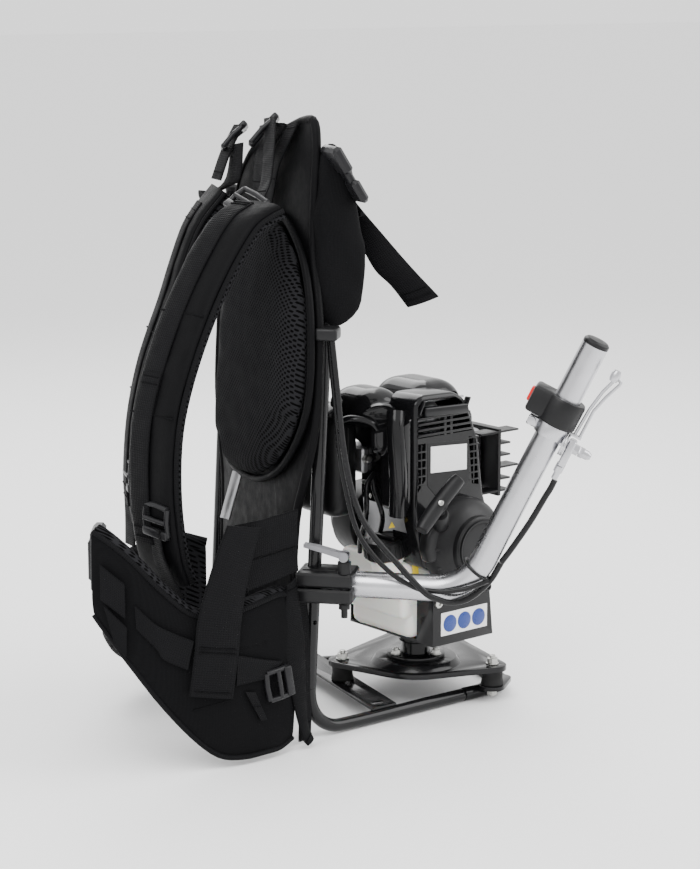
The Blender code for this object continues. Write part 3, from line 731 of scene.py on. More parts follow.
def crowned(outline: list, surface: Callable, thick: float, crown: float = 0.0,
            steps: int = 4) -> bpy.types.Object:
    """A padded form inside a flat outline, full in the middle and pulled in at its seam.

    Args:
        outline: (u, v) points round it.
        surface: Gives a point in drawing millimetres for (u, v, depth).
        thick: Its thickness.
        crown: How much further its front stands out at the middle.
        steps: Stretches between two outline points.

    Returns:
        The form.
    """
    edge = smooth_path([(u, v, 0.0) for u, v in outline], steps, looped=True)
    centre = sum(edge, Vector()) / len(edge)
    insets = (0.0, 0.02, 0.06, 0.14, 0.28, 0.45, 0.62, 0.8, 0.95)
    rings = []
    for side, order in ((0, insets[::-1]), (1, insets)):
        for t in order:
            round_off = math.sqrt(1 - (1 - min(t / 0.3, 1.0)) ** 2)
            depth = thick * (0.5 + (side - 0.5) * (0.24 + 0.76 * round_off)) + side * crown * t * (2 - t)
            rings.append([
                DESIGN @ Vector(surface(*(centre + (p - centre) * (1 - t)).to_2d(), depth)) for p in edge
            ])
    return skin(rings)


def lean(offset: float) -> Callable:
    """The harness's leaning plane: u is Y, v is Z and depth goes towards the wearer.

    Args:
        offset: How far it stands behind the uprights.

    Returns:
        A function that gives a point for (u, v, depth).
    """

    def surface(u: float, v: float, depth: float) -> tuple:
        """A point in drawing millimetres."""
        return upright_x(v) + offset - depth, u, v

    return surface


def modify(obj: bpy.types.Object, kind: str, **settings: object) -> bpy.types.Object:
    """Adds a modifier and applies it.

    Args:
        obj: The piece.
        kind: The modifier's type.
        settings: Its attributes.

    Returns:
        The same piece.
    """
    step = obj.modifiers.new("step", kind)
    for key, value in settings.items():
        setattr(step, key, value)
    take(obj)
    bpy.ops.object.modifier_apply(modifier="step")
    return obj


def ruffle(obj: bpy.types.Object, depth: float, size: float) -> bpy.types.Object:
    """Puckers and soft folds in cloth.

    Args:
        obj: The piece.
        depth: From the lowest to the highest, in millimetres.
        size: Their breadth in millimetres.

    Returns:
        The same piece.
    """
    texture = bpy.data.textures.new("folds", "CLOUDS")
    texture.noise_scale = size * MM
    texture.noise_depth = 1
    return modify(obj, "DISPLACE", texture=texture, strength=depth * MM, mid_level=0.5,
                  texture_coords="LOCAL")


def puff(obj: bpy.types.Object, cap: float, voxel: float = 5.0, pressure: float = 4.0) -> bpy.types.Object:
    """Fills a padded piece by cloth simulation, and applies it.

    Args:
        obj: The sewn form, a little small.
        cap: The furthest that a point may move, in millimetres.
        voxel: The remesh size in millimetres.
        pressure: The filling's pressure.

    Returns:
        The filled piece.
    """
    modify(obj, "REMESH", mode="VOXEL", voxel_size=voxel * MM)
    rest = [v.co.copy() for v in obj.data.vertices]
    cloth = obj.modifiers.new("fill", "CLOTH")
    cloth.settings.use_pressure = True
    cloth.settings.uniform_pressure_force = pressure
    cloth.settings.effector_weights.gravity = 0
    scene = bpy.context.scene
    for step in range(1, FILLING_STEPS + 1):
        scene.frame_set(step)
    graph = bpy.context.evaluated_depsgraph_get()
    swollen = bpy.data.meshes.new_from_object(obj.evaluated_get(graph))
    obj.modifiers.clear()
    for vertex, moved, start in zip(obj.data.vertices, swollen.vertices, rest):
        shift = moved.co - start
        vertex.co = start + shift * min(1.0, cap * MM / max(shift.length, 1e-9))
    bpy.data.meshes.remove(swollen)
    scene.frame_set(1)
    return modify(obj, "SUBSURF", levels=1, render_levels=1)


def block(x: tuple, y: tuple, z: tuple, place: Matrix, bevel: float = 0.0,
          steps: int = 3) -> bpy.types.Object:
    """A block from three (low, high) pairs, its edges rounded over.

    Args:
        x: Range along X.
        y: Range along Y.
        z: Range along Z.
        place: The placing matrix.
        bevel: Radius of the edges.
        steps: Faces across each rounded edge.

    Returns:
        The block.
    """
    bare()
    middle = [(low + high) / 2 for low, high in (x, y, z)]
    size = [high - low for low, high in (x, y, z)]
    bpy.ops.mesh.primitive_cube_add(size=1, location=middle, scale=size)
    obj = bpy.context.object
    bpy.ops.object.transform_apply(location=True, rotation=True, scale=True)
    if bevel:
        with editing(obj):
            bpy.ops.mesh.bevel(offset=bevel, segments=steps, affect="EDGES", clamp_overlap=True)
    obj.data.transform(place)
    return obj


def turned(profile: list, place: Matrix, sides: int = 48) -> bpy.types.Object:
    """A turned piece.

    Args:
        profile: (radius, height) points of its half section.
        place: The placing matrix, whose +Z is its axis.
        sides: Sides round it.

    Returns:
        The piece.
    """
    points = [(r, 0.0, z) for r, z in [(0.0, profile[0][1]), *profile, (0.0, profile[-1][1])]]
    obj = made(points, [])
    obj.data.edges.add(len(points) - 1)
    for i, edge in enumerate(obj.data.edges):
        edge.vertices = (i, i + 1)
    with editing(obj):
        bpy.ops.mesh.spin(steps=sides, angle=2 * math.pi, center=(0, 0, 0), axis=(0, 0, 1))
    outward(obj, 1e-4)
    obj.data.transform(place)
    return obj


def joined(*objs: bpy.types.Object) -> bpy.types.Object:
    """Several meshes as one piece.

    Args:
        objs: The meshes.

    Returns:
        The first of them, holding all.
    """
    bare()
    for obj in objs:
        obj.select_set(True)
    bpy.context.view_layer.objects.active = objs[0]
    bpy.ops.object.join()
    return objs[0]


def carved(obj: bpy.types.Object, *tools: bpy.types.Object) -> bpy.types.Object:
    """A piece with tools cut from it.

    Args:
        obj: The piece.
        tools: Closed shapes, which are used up.

    Returns:
        The same piece.
    """
    for tool in tools:
        modify(obj, "BOOLEAN", operation="DIFFERENCE", object=tool, solver="EXACT")
        bpy.data.objects.remove(tool)
    return obj


def settle(obj: bpy.types.Object, name: str, finish: Finish, body: str | None,
           stands_for: tuple = (), smooth: float = 32.0) -> bpy.types.Object:
    """Names, dresses and fastens a finished piece.

    Args:
        obj: The piece.
        name: Its name.
        finish: Its finish.
        body: The body it moves with, or None where it bends between two.
        stands_for: Nodes that it is shown in place of.
        smooth: Angle in degrees up to which its faces shade as one.

    Returns:
        The piece.
    """
    obj.name = obj.data.name = name
    obj.data.materials.clear()
    obj.data.materials.append(finish.material())
    take(obj)
    bpy.ops.object.shade_smooth_by_angle(angle=math.radians(smooth))
    if body:
        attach(obj, body)
    if stands_for:
        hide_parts(*stands_for)
    LOG.info("%s: %d faces, %s", name, len(obj.data.polygons), finish.name)
    return obj


def copied(node: str) -> bpy.types.Object:
    """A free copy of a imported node.

    Args:
        node: The node.

    Returns:
        The copy, with none of the node's marks.
    """
    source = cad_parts[node]
    obj = source.copy()
    obj.data = source.data.copy()
    obj.parent = None
    for key in list(obj.keys()):
        del obj[key]
    bpy.context.scene.collection.objects.link(obj)
    return obj


def carry(node: str, finish: Finish, body: str, bevel: float = 0.5, steps: int = 2) -> bpy.types.Object:
    """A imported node's own shape with its edges broken and a finish.

    Args:
        node: The node.
        finish: Its finish.
        body: The body it moves with.
        bevel: Width of the broken edges in millimetres.
        steps: Faces across them.

    Returns:
        The piece that stands for the node.
    """
    obj = copied(node)
    with editing(obj):
        bpy.ops.mesh.remove_doubles(threshold=1e-5)
        bpy.ops.mesh.dissolve_limited(angle_limit=math.radians(1.0))
    if bevel:
        modify(obj, "BEVEL", width=bevel * MM, segments=steps, limit_method="ANGLE",
               angle_limit=math.radians(38), harden_normals=False)
    return settle(obj, node + "_dressed", finish, body, (node,))


# ---------------------------------------------------------------- camera, light and floor


@dataclass
class Studio:
    """The camera, a plain pale floor and soft lights."""

    eye: tuple = (-937.8, -2211.6, 763.8)
    gaze: tuple = (0.4141, 0.8881, -0.1994)
    lens: float = 104.0
    floor_tone: float = 0.94
    sky_strength: float = 1.55
    aim: tuple = (50.0, -60.0, 250.0)
    lamps: tuple = (
        ("key", (-900.0, -900.0, 1700.0), 1300.0, 30.0),
        ("fill", (1300.0, -700.0, 1100.0), 1300.0, 22.0),
        ("rim", (300.0, 1300.0, 1500.0), 1300.0, 22.0),
    )

    def camera(self) -> None:
        """Places the camera."""
        data = bpy.data.cameras.new("camera")
        data.lens = self.lens
        data.sensor_width = 36.0
        data.clip_start, data.clip_end = 0.05, 60.0
        obj = bpy.data.objects.new("camera", data)
        obj.location = DESIGN @ Vector(self.eye)
        obj.rotation_mode = "QUATERNION"
        obj.rotation_quaternion = Vector(self.gaze).to_track_quat("-Z", "Y")
        bpy.context.scene.collection.objects.link(obj)
        bpy.context.scene.camera = obj

    def build(self) -> None:
        """Lays the floor and sets the lights."""
        bench = Bench("floor_sheet")
        bench.close(Base_Color=(self.floor_tone, self.floor_tone, self.floor_tone, 1.0), Roughness=0.9)
        bare()
        bpy.ops.mesh.primitive_plane_add(size=30.0, location=(0, 0, -0.0004))
        floor = bpy.context.object
        floor.name = "studio_floor"
        floor.data.materials.append(bench.material)
        world = bpy.data.worlds.new("studio")
        bpy.context.scene.world = world
        world.use_nodes = True
        sky = world.node_tree.nodes["Background"]
        sky.inputs["Color"].default_value = (1.0, 1.0, 1.0, 1.0)
        sky.inputs["Strength"].default_value = self.sky_strength
        for name, at, size, power in self.lamps:
            data = bpy.data.lights.new("lamp_" + name, "AREA")
            data.energy = power
            data.size = size * MM
            lamp = bpy.data.objects.new("lamp_" + name, data)
            lamp.location = DESIGN @ Vector(at)
            course = DESIGN @ Vector(self.aim) - lamp.location
            lamp.rotation_euler = course.to_track_quat("-Z", "Y").to_euler()
            bpy.context.scene.collection.objects.link(lamp)


# ---------------------------------------------------------------- cables


@dataclass
class Cables:
    """The two cables that loop from the handle up the near upright."""

    throttle_size: float = 5.8
    switch_size: float = 4.8
    throttle: tuple = (
        (177.5, 182.1, 0), (168.9, 166.6, 0), (157.4, 154.2, -1), (145, 146, -5), (132.1, 145.4, -13.5),
        (121.8, 149.8, -20.5), (112.2, 155.4, -25.5), (98.4, 168.6, -26.5), (83.8, 184.1, -26),
        (56.5, 214.8, -24), (41.5, 246.9, -22), (32.2, 291, -20), (27.2, 335.2, -18.5), (24.2, 362, -17.5),
        (20.4, 397, -17),
    )
    switch: tuple = (
        (166, 166.2, -7.6), (158, 163.3, -12.2), (148, 160.2, -15.9), (137.3, 158.2, -17.2),
        (125.7, 156.6, -17.8), (112.2, 157, -18), (100.5, 159.1, -18.5), (79, 170.9, -19), (58.6, 189.6, -17),
        (43.7, 212.2, -15), (34.4, 244.2, -13), (27.4, 279.9, -10.5), (22.8, 324.8, -9), (19, 360.2, -8),
        (16.7, 391, -8),
    )
    grip: tuple = ((226.4, 263.2), (222, 254), (217.7, 246.8), (204.2, 222.5), (187.8, 197), (178, 183))

    def build(self) -> None:
        for name, spots, size in (
            ("throttle_cable", self.throttle, self.throttle_size),
            ("switch_cable", self.switch, self.switch_size),
        ):
            route = smooth_path([(s, n, z) for s, z, n in spots], 4)
            run = [HANDLE @ p for p in route]
            lead = settle(sweep(route, size / 2, 16, HANDLE), name + "_run", CABLE, None, (name,), 60)
            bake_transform(lead)
            length = sum((b - a).length for a, b in zip(run, run[1:]))
            LOG.info("%s is %.0f mm long", name, length * 1000)
        along = sweep(smooth_path([(s, 0, z) for s, z in self.grip], 4), self.throttle_size / 2, 16, HANDLE)
        settle(along, "throttle_cable_grip_run", CABLE, "handle", ("throttle_cable_handle",), 60)


# ---------------------------------------------------------------- harness


@dataclass
class Harness:
    """The padded harness: panel, pad, pocket, two shoulder straps, waist belt and its webbing."""

    body: str = "frame"
    panel: tuple = (
        (-106, 585), (-113, 560), (-113, 515), (-115, 469), (-134, 410), (-138, 360), (-136, 305),
        (-118, 254), (-102, 211), (-98, 120), (-90, 70), (60, 70), (70, 120), (74, 211), (86, 254),
        (100, 305), (102, 360), (98, 410), (74, 469), (64, 510), (44, 540), (12, 560), (-40, 574), (-84, 586),
    )
    pad: tuple = (
        (-45, 497), (-80, 490), (-120, 455), (-140, 397), (-138, 325), (-95, 268), (-35, 240), (25, 240),
        (52, 254), (62, 287), (60, 358), (44, 424), (10, 470), (-20, 492),
    )
    pocket: tuple = (
        (-71, 557), (-110, 535), (-112, 430), (-104, 408), (60, 408), (68, 430), (60, 532), (28, 557),
    )
    near_strap: tuple = (
        (-46, -105, 508), (-58, -105, 503), (-74, -105, 491), (-99, -105, 452), (-123, -105, 402),
        (-142, -105, 348), (-151, -105, 302), (-152, -105, 246), (-146, -105, 197), (-138, -105, 172),
    )
    far_strap: tuple = (
        (-17, 60, 508), (-46, 60, 472), (-72, 60, 402), (-94, 60, 344), (-107, 60, 285),
        (-111, 60, 225), (-107, 60, 188),
    )
    near_across: tuple = (0.34, -0.94, 0.0)
    far_across: tuple = (-0.2, -0.98, 0.0)
    near_belt: tuple = (
        (-34, -135, 11, 153), (-50, -143, 6, 157), (-66, -149, 6, 155), (-90, -154, 6, 150),
        (-115, -156, 12, 146), (-140, -154, 34, 152), (-166, -149, 66, 176), (-190, -141, 102, 204),
        (-208, -131, 132, 222), (-218, -123, 150, 230),
    )
    far_belt: tuple = (
        (-26, 90, 50, 150), (-60, 102, 30, 158), (-95, 96, 30, 150), (-125, 70, 50, 150),
        (-150, 30, 80, 160), (-165, -10, 100, 165),
    )

    def tape(self, name: str, left: list, right: list, lift: float = 0.6, thick: float = 1.6,
             stitches: tuple = (), wave: float = 0.0) -> None:
        """A length of webbing with rows of stitching across it.

        Args:
            name: Its name.
            left: Points along one edge.
            right: Points along the other.
            lift: How far it stands off.
            thick: Its thickness.
            stitches: Places along it, from 0 to 1, of its sewn bars.
            wave: How far it cups.
        """
        settle(strip(left, right, thick, lift, wave=wave), name, TAPE, self.body, smooth=50)
        lefts, rights = smooth_path(left, 8), smooth_path(right, 8)
        for number, place in enumerate(stitches):
            i = min(int(place * (len(lefts) - 1)), len(lefts) - 2)
            a, b = lefts[i], rights[i]
            course = ((lefts[i + 1] + rights[i + 1]) - (a + b)).normalized()
            out = course.cross(b - a).normalized() * (lift + wave + thick * 0.55)
            row = sweep([a.lerp(b, 0.08) + out, a.lerp(b, 0.5) + out, a.lerp(b, 0.92) + out], 0.55, 6)
            settle(row, f"{name}_stitching_{number}", CLOTH, self.body, smooth=60)

    def piping(self, name: str, points: list, radius: float, looped: bool = False) -> None:
        """Bound edge round a padded piece.

        Args:
            name: Its name.
            points: Its line.
            radius: Its radius.
            looped: Whether it closes on itself.
        """
        cord = sweep(smooth_path(points, 4, looped), radius, 12, looped=looped)
        settle(cord, name, SATIN, self.body, smooth=60)

    def ladder_lock(self, name: str, centre: tuple, along: tuple, out: tuple, size: tuple) -> None:
        """A three-bar webbing buckle.

        Args:
            name: Its name.
            centre: Its middle.
            along: Direction of the webbing through it.
            out: Direction that its face looks.
            size: Width and length.
        """
        z = Vector(along).normalized()
        x = (Vector(out) - z * Vector(out).dot(z)).normalized()
        rows = Matrix((x, z.cross(x), z)).transposed().to_4x4()
        rows.translation = Vector(centre)
        place = DESIGN @ rows
        wide, high = size[0] / 2, size[1] / 2
        bars = [
            sweep([(0, -wide, -high), (1.5, -wide, 0), (0, -wide, high)], 2.6, 10, place),
            sweep([(0, wide, -high), (1.5, wide, 0), (0, wide, high)], 2.6, 10, place),
            sweep([(0, -wide, -high), (0, 0, -high - 1), (0, wide, -high)], 2.8, 10, place),
            sweep([(2.5, -wide, 0), (3, 0, 0), (2.5, wide, 0)], 2.4, 10, place),
            block((-2, 4.5), (-wide - 1.5, wide + 1.5), (high - 5, high + 3.5), place, 1.8, 3),
        ]
        settle(joined(*bars), name, BUCKLE, self.body, smooth=50)

    def build(self) -> None:
        """Sews the whole harness."""
        self.back()
        self.strap("near", self.near_strap, self.near_across, 62.0, 16.0)
        self.strap("far", self.far_strap, self.far_across, 52.0, 16.0)
        self.belt("near", self.near_belt, 15.0)
        self.belt("far", self.far_belt, 15.0)
        self.belt_webbing()
        self.top_webbing()
        self.hardware()

    def back(self) -> None:
        """The back panel, its ventilated pad and the pocket behind the wearer's neck."""
        panel = ruffle(crowned(list(self.panel), lean(-9), 10, 0.5), 1.2, 45)
        settle(panel, "back_panel_sewn", SATIN, self.body, ("back_panel",), 60)
        rim = [(upright_x(v) - 14, u, v) for u, v in self.panel]
        self.piping("back_panel_piping", rim, 4.2, True)
        pad = puff(crowned(list(self.pad), lean(-20.5), 15, 5.0), 5.0)
        settle(pad, "back_pad_sewn", NET, self.body, ("back_pad",), 60)
        self.piping("back_pad_piping", [(upright_x(v) - 24, u, v) for u, v in self.pad], 3.6, True)
        pocket = ruffle(puff(crowned(list(self.pocket), lean(34), 24), 5.0), 5.0, 38)
        settle(pocket, "top_pocket_sewn", CLOTH, self.body, ("top_pocket",), 60)
        side = [(8, 556), (22, 566), (34, 541), (49, 484), (51, 452), (49, 419), (27, 401), (5, 408),
                (2, 470), (5, 520)]

        def gusset(u: float, v: float, depth: float) -> tuple:
            """A point on the pocket's side, where depth goes towards the operator."""
            return u, -108.0 - depth, v

        flank = ruffle(crowned(side, gusset, 20, 3.0), 7.0, 34)
        settle(flank, "top_pocket_side", CLOTH, self.body, smooth=60)
        flap = ((-112, 500), (-80, 494), (-20, 492), (40, 494), (64, 500))
        self.piping("pocket_flap_edge", [(upright_x(v) + 36, u, v) for u, v in flap], 2.2)

    def strap(self, side: str, points: tuple, across: tuple, width: float, thick: float) -> None:
        """A padded shoulder strap: smooth face, mesh lining, bound edges and webbing.

        Args:
            side: Which one.
            points: Its middle line.
            across: The direction of its width.
            width: Its width.
            thick: Its thickness.
        """
        path = smooth_path(list(points), 4)
        ac = Vector(across).normalized()
        outs = facings(path, ac)
        half = width / 2

        def layer(low: float, high: float, wide: float) -> bpy.types.Object:
            """One layer of the strap.

            Args:
                low: Its depth on the wearer's side.
                high: Its depth on the outer side.
                wide: Half its width.

            Returns:
                The layer.
            """
            middle, deep = (low + high) / 2, (high - low) / 2
            section = oval(20, (0.5, 0.75))
            return skin([
                [DESIGN @ (point + ac * wide * c + out * (middle + deep * s)) for c, s, _ in section]
                for point, out in zip(path, outs)
            ])

        face = ruffle(layer(-2.0, thick / 2 + 1.0, half - 1.0), 2.4, 24)
        settle(face, f"shoulder_strap_{side}_face", SATIN, self.body,
               (f"shoulder_strap_{side}",), 60)
        lining = layer(-thick / 2 - 1.0, 2.0, half + 0.5)
        settle(lining, f"shoulder_strap_{side}_lining", NET, self.body, smooth=60)
        for edge, sign in (("left", -1), ("right", 1)):
            run = [p + ac * sign * (half + 0.5) + out * 1.5 for p, out in zip(path, outs)]
            settle(sweep(run, 2.4, 10), f"shoulder_strap_{side}_{edge}_binding", TAPE, self.body, smooth=60)
        shift, wide = (-9.0, 12.5) if side == "near" else (-2.0, 11.0)
        last = len(path) - 1
        runs = [range(2, last - 1, 2)]
        if side == "near":
            runs = [range(2, last - 12, 2), range(last - 17, last - 3, 2)]
        for number, run in enumerate(runs):
            left, right = (
                [path[i] + ac * edge + outs[i] * (thick / 2 + 1.4 + number) for i in run]
                for edge in (shift - wide, shift + wide)
            )
            self.tape(f"shoulder_strap_{side}_webbing_{number}", left, right, 0.4, 1.8,
                      (0.04, 0.08, 0.9, 0.96), 0.4)
        for number, part in enumerate((0.42, 0.62)):
            i = int(part * last)
            seam = [path[i] + ac * a + outs[i] * (thick / 2 + 1.0) for a in (-half + 2, 0, half - 2)]
            settle(sweep(smooth_path(seam, 3), 0.9, 8), f"shoulder_strap_{side}_seam_{number}", CLOTH,
                   self.body)

    def belt(self, side: str, stations: tuple, thick: float) -> None:
        """A waist-belt wing: foam face, mesh lining with a rolled welt, and bound edges.

        Args:
            side: Which one.
            stations: (x, y, lowest z, highest z) along it.
            thick: Its thickness.
        """
        run = smooth_path([(x, y, 0.0) for x, y, _, _ in stations], 4)
        span = smooth_path([(low, high, 0.0) for _, _, low, high in stations], 4)
        sign = 1 if side == "near" else -1
        outs = [out * sign for out in facings(run)]

        def layer(low: float, high: float, trim: float, swell: float) -> bpy.types.Object:
            """One layer of the wing.

            Args:
                low: Its depth on the wearer's side.
                high: Its depth on the outer side.
                trim: How far it stays inside the wing's edges.
                swell: How much fuller it is along the middle.

            Returns:
                The layer.
            """
            middle, deep = (low + high) / 2, (high - low) / 2
            rings = []
            for spot, reach, out in zip(run, span, outs):
                centre, half = (reach.x + reach.y) / 2, (reach.y - reach.x) / 2 - trim
                rings.append([
                    DESIGN @ (Vector((spot.x, spot.y, centre + half * c))
                              + out * (middle + (deep + swell * (1 - abs(plain))) * s))
                    for c, s, plain in oval(28, (0.35, 0.7))
                ])
            return skin(rings)

        face = ruffle(layer(-1.5, thick / 2, 1.5, 0.8), 2.2, 40)
        settle(face, f"belt_{side}_face", CLOTH, self.body, (f"belt_wing_{side}",), 60)
        lining = layer(-thick / 2 - 1.5, 2.5, -1.0, 0.5)
        settle(lining, f"belt_{side}_lining", NET, self.body, smooth=60)

        def rim(key: int, drop: float, out: float) -> list[Vector]:
            """A line along the bottom (0) or top (1) edge, dropped and stood off."""
            return [Vector((p.x, p.y, r[key] - drop)) + o * out for p, r, o in zip(run, span, outs)]

        for edge, key, drop in (("top", 1, 1.5), ("bottom", 0, -1.5)):
            binding = sweep(rim(key, drop, 5.0), 2.6, 10)
            settle(binding, f"belt_{side}_{edge}_binding", TAPE, self.body, smooth=60)
        settle(sweep(rim(1, 3.0, -2.5), 8.0, 14), f"belt_{side}_welt", NET, self.body, smooth=60)

    def belt_webbing(self) -> None:
        """The webbing, folded straps, tabs and slide buckles sewn to the near wing."""
        self.tape("belt_fold", [(-106, -166, 231), (-119, -168, 202), (-136, -168, 150), (-140, -168, 117),
                                (-146, -168, 76)],
                  [(-72, -164, 225), (-85, -166, 185), (-94, -168, 141), (-97, -168, 110), (-103, -168, 68)],
                  -0.5, 2.4, (0.72, 0.76, 0.97), 1.4)
        self.tape("belt_band_upper", [(-95, -156, 228), (-68, -154, 230), (-29, -148, 235)],
                  [(-88, -156, 192), (-69, -154, 196), (-29, -148, 201)], 0, 2.2, (0.06,), 1.5)
        self.tape("belt_band_lower", [(-88, -153, 192), (-68, -151, 194), (-27, -144, 200)],
                  [(-81, -153, 164), (-62, -151, 168), (-27, -144, 175)], 0, 2.0, (0.9,), 1.2)
        self.tape("belt_loop", [(-191, -151, 163), (-174, -158, 145), (-157, -163, 135), (-140, -166, 127)],
                  [(-190, -152, 140), (-174, -158, 122), (-167, -160, 111), (-146, -165, 100)], 0, 2.0,
                  (0.05, 0.95), 0.8)
        self.tape("belt_patch_upper", [(-219, -139, 201), (-200, -151, 183)],
                  [(-219, -139, 168), (-200, -151, 151)], 0, 1.8, (0.08, 0.9), 0.5)
        self.tape("belt_patch_lower", [(-217, -141, 164), (-199, -152, 143)],
                  [(-209, -147, 127), (-200, -152, 114)], 0, 1.8, (0.08, 0.9), 0.5)
        self.tape("belt_cross_strap", [(-97, -166, 108), (-70, -162, 100), (-47, -153, 93)],
                  [(-99, -166, 79), (-80, -163, 80), (-65, -160, 80)], 0, 2.0, (0.05,), 0.6)
        self.tape("belt_tab", [(-90, -165, 72), (-73, -161, 41)], [(-79, -163, 70), (-66, -160, 41)],
                  0, 1.8, (0.5,))
        self.ladder_lock("belt_glide", (-53, -157, 73), (0.9, 0.25, 0.1), (0.25, -0.95, 0.1), (26, 24))
        self.tape("belt_hanging_tape", [(-39, -145, 162), (-43, -146, 120), (-41, -146, 83), (-35, -145, 57),
                                        (-24, -144, 14), (-17, -142, 3)],
                  [(-28, -141, 168), (-20, -142, 106), (-20, -142, 96), (-18, -141, 57), (-16, -140, 25),
                   (-9, -138, 8)], 0, 1.8, (0.03, 0.9), 1.2)
        self.tape("panel_tail", [(-26, -128, 168), (-20, -128, 114), (-19, -128, 51), (-20, -128, 3)],
                  [(-15, -124, 168), (-6, -122, 114), (-4, -122, 51), (-5, -122, 3)], 0, 2.4, (0.9,))
        seam = [(-104, -163.5, 66), (-120, -164, 64), (-140, -162.5, 60)]
        settle(sweep(smooth_path(seam, 5), 0.8, 8), "belt_low_seam", CLOTH, self.body)
        hem = [(-64, -157, 114), (-100, -163.4, 113), (-136, -162.4, 112), (-168, -156, 118)]
        settle(sweep(smooth_path(hem, 6), 0.9, 8), "belt_hem_seam", CLOTH, self.body)

    def top_webbing(self) -> None:
        """Load lifters, carrying webbing and the loose tails at the top."""
        self.tape("lifter_tail", [(-9, 53, 553), (-11, 62, 521), (-12, 92, 506), (-12, 132, 502)],
                  [(-9, 23, 558), (-11, 26, 524), (-12, 52, 513), (-12, 126, 492)], 0, 1.8, (0.9, 0.95), 1.0)
        self.tape("carry_tape_near", [(2, -61, 581), (-9, -40, 545), (-9, -20, 515), (-11, -13, 495)],
                  [(2, -85, 585), (-9, -66, 545), (-9, -52, 518), (-11, -47, 498)], 0, 1.8, (0.05, 0.5, 0.95))
        self.tape("carry_tape_far", [(2, -22, 579), (-10, -12, 550), (-9, 0, 514)],
                  [(2, -56, 581), (-10, -46, 550), (-9, -34, 517)], 0, 1.8, (0.05, 0.9))
        self.tape("near_lifter", [(-3, -15, 583), (-16, -44, 560), (-30, -70, 530), (-42, -82, 516)],
                  [(-3, -42, 587), (-16, -70, 562), (-30, -94, 534), (-42, -106, 519)], 0, 1.8, (0.9,))
        self.tape("far_lifter", [(-3, 60, 572), (-14, 66, 548), (-24, 68, 520)],
                  [(-3, 35, 574), (-14, 42, 548), (-24, 44, 520)], 0, 1.8, (0.9,))
        self.tape("pocket_strap", [(37, -110, 528), (42, -110, 505), (36, -110, 470)],
                  [(35, -128, 530), (40, -128, 505), (34, -128, 470)], 0, 1.8, (0.2,))
        self.tape("loose_tail", [(44, -82, 514), (52, -84, 498), (65, -84, 469), (80, -84, 443),
                                 (97, -84, 427), (115, -84, 405)],
                  [(46, -104, 516), (60, -102, 500), (80, -100, 479), (100, -100, 457), (118, -100, 438),
                   (140, -100, 416)], 0, 1.8, (0.9, 0.95), 1.5)

    def hardware(self) -> None:
        """Buckles, stay bar, and the clip at the cables' top."""
        lifter = ((0.7, -0.17, 0.69), (-0.58, 0.43, 0.69))
        for name, centre, along, out, size in (
            ("near_lifter_lock", (-6, -21, 572), *lifter, (24, 32)),
            ("far_lifter_lock", (-6, 52, 561), *lifter, (24, 28)),
            ("near_strap_top_lock", (-54, -94, 513), (-0.78, 0, -0.6), (-0.55, -0.3, 0.75), (38, 22)),
            ("near_strap_low_lock", (-156, -118, 231), (0.05, 0.1, -1), (-0.93, -0.33, 0), (30, 26)),
            ("far_strap_lock", (-118, 58, 236), (0.02, 0, -1), (-0.98, 0.2, 0), (28, 26)),
        ):
            self.ladder_lock(name, centre, along, out, size)
        self.tape("near_strap_lower_tape", [(-157, -128, 224), (-152, -128, 195), (-138, -140, 160)],
                  [(-160, -104, 224), (-155, -104, 195), (-150, -118, 160)], 0, 1.8, (0.9,))
        self.tape("far_strap_lower_tape", [(-118, 48, 226), (-116, 50, 196), (-112, 62, 160)],
                  [(-120, 70, 226), (-118, 72, 196), (-114, 84, 160)], 0, 1.8, (0.9,))
        carry("belt_buckle", BUCKLE, self.body, 1.6, 3)
        carry("top_buckle", BUCKLE, self.body, 1.2, 3)
        carry("stay_bar", STEEL, self.body, 0.5)
        clip = block((6, 27), (-24, -1), (389, 401), HANDLE, 3.0, 4)
        settle(clip, "cable_clip", MOULDED, self.body)


# ---------------------------------------------------------------- tube frame and base


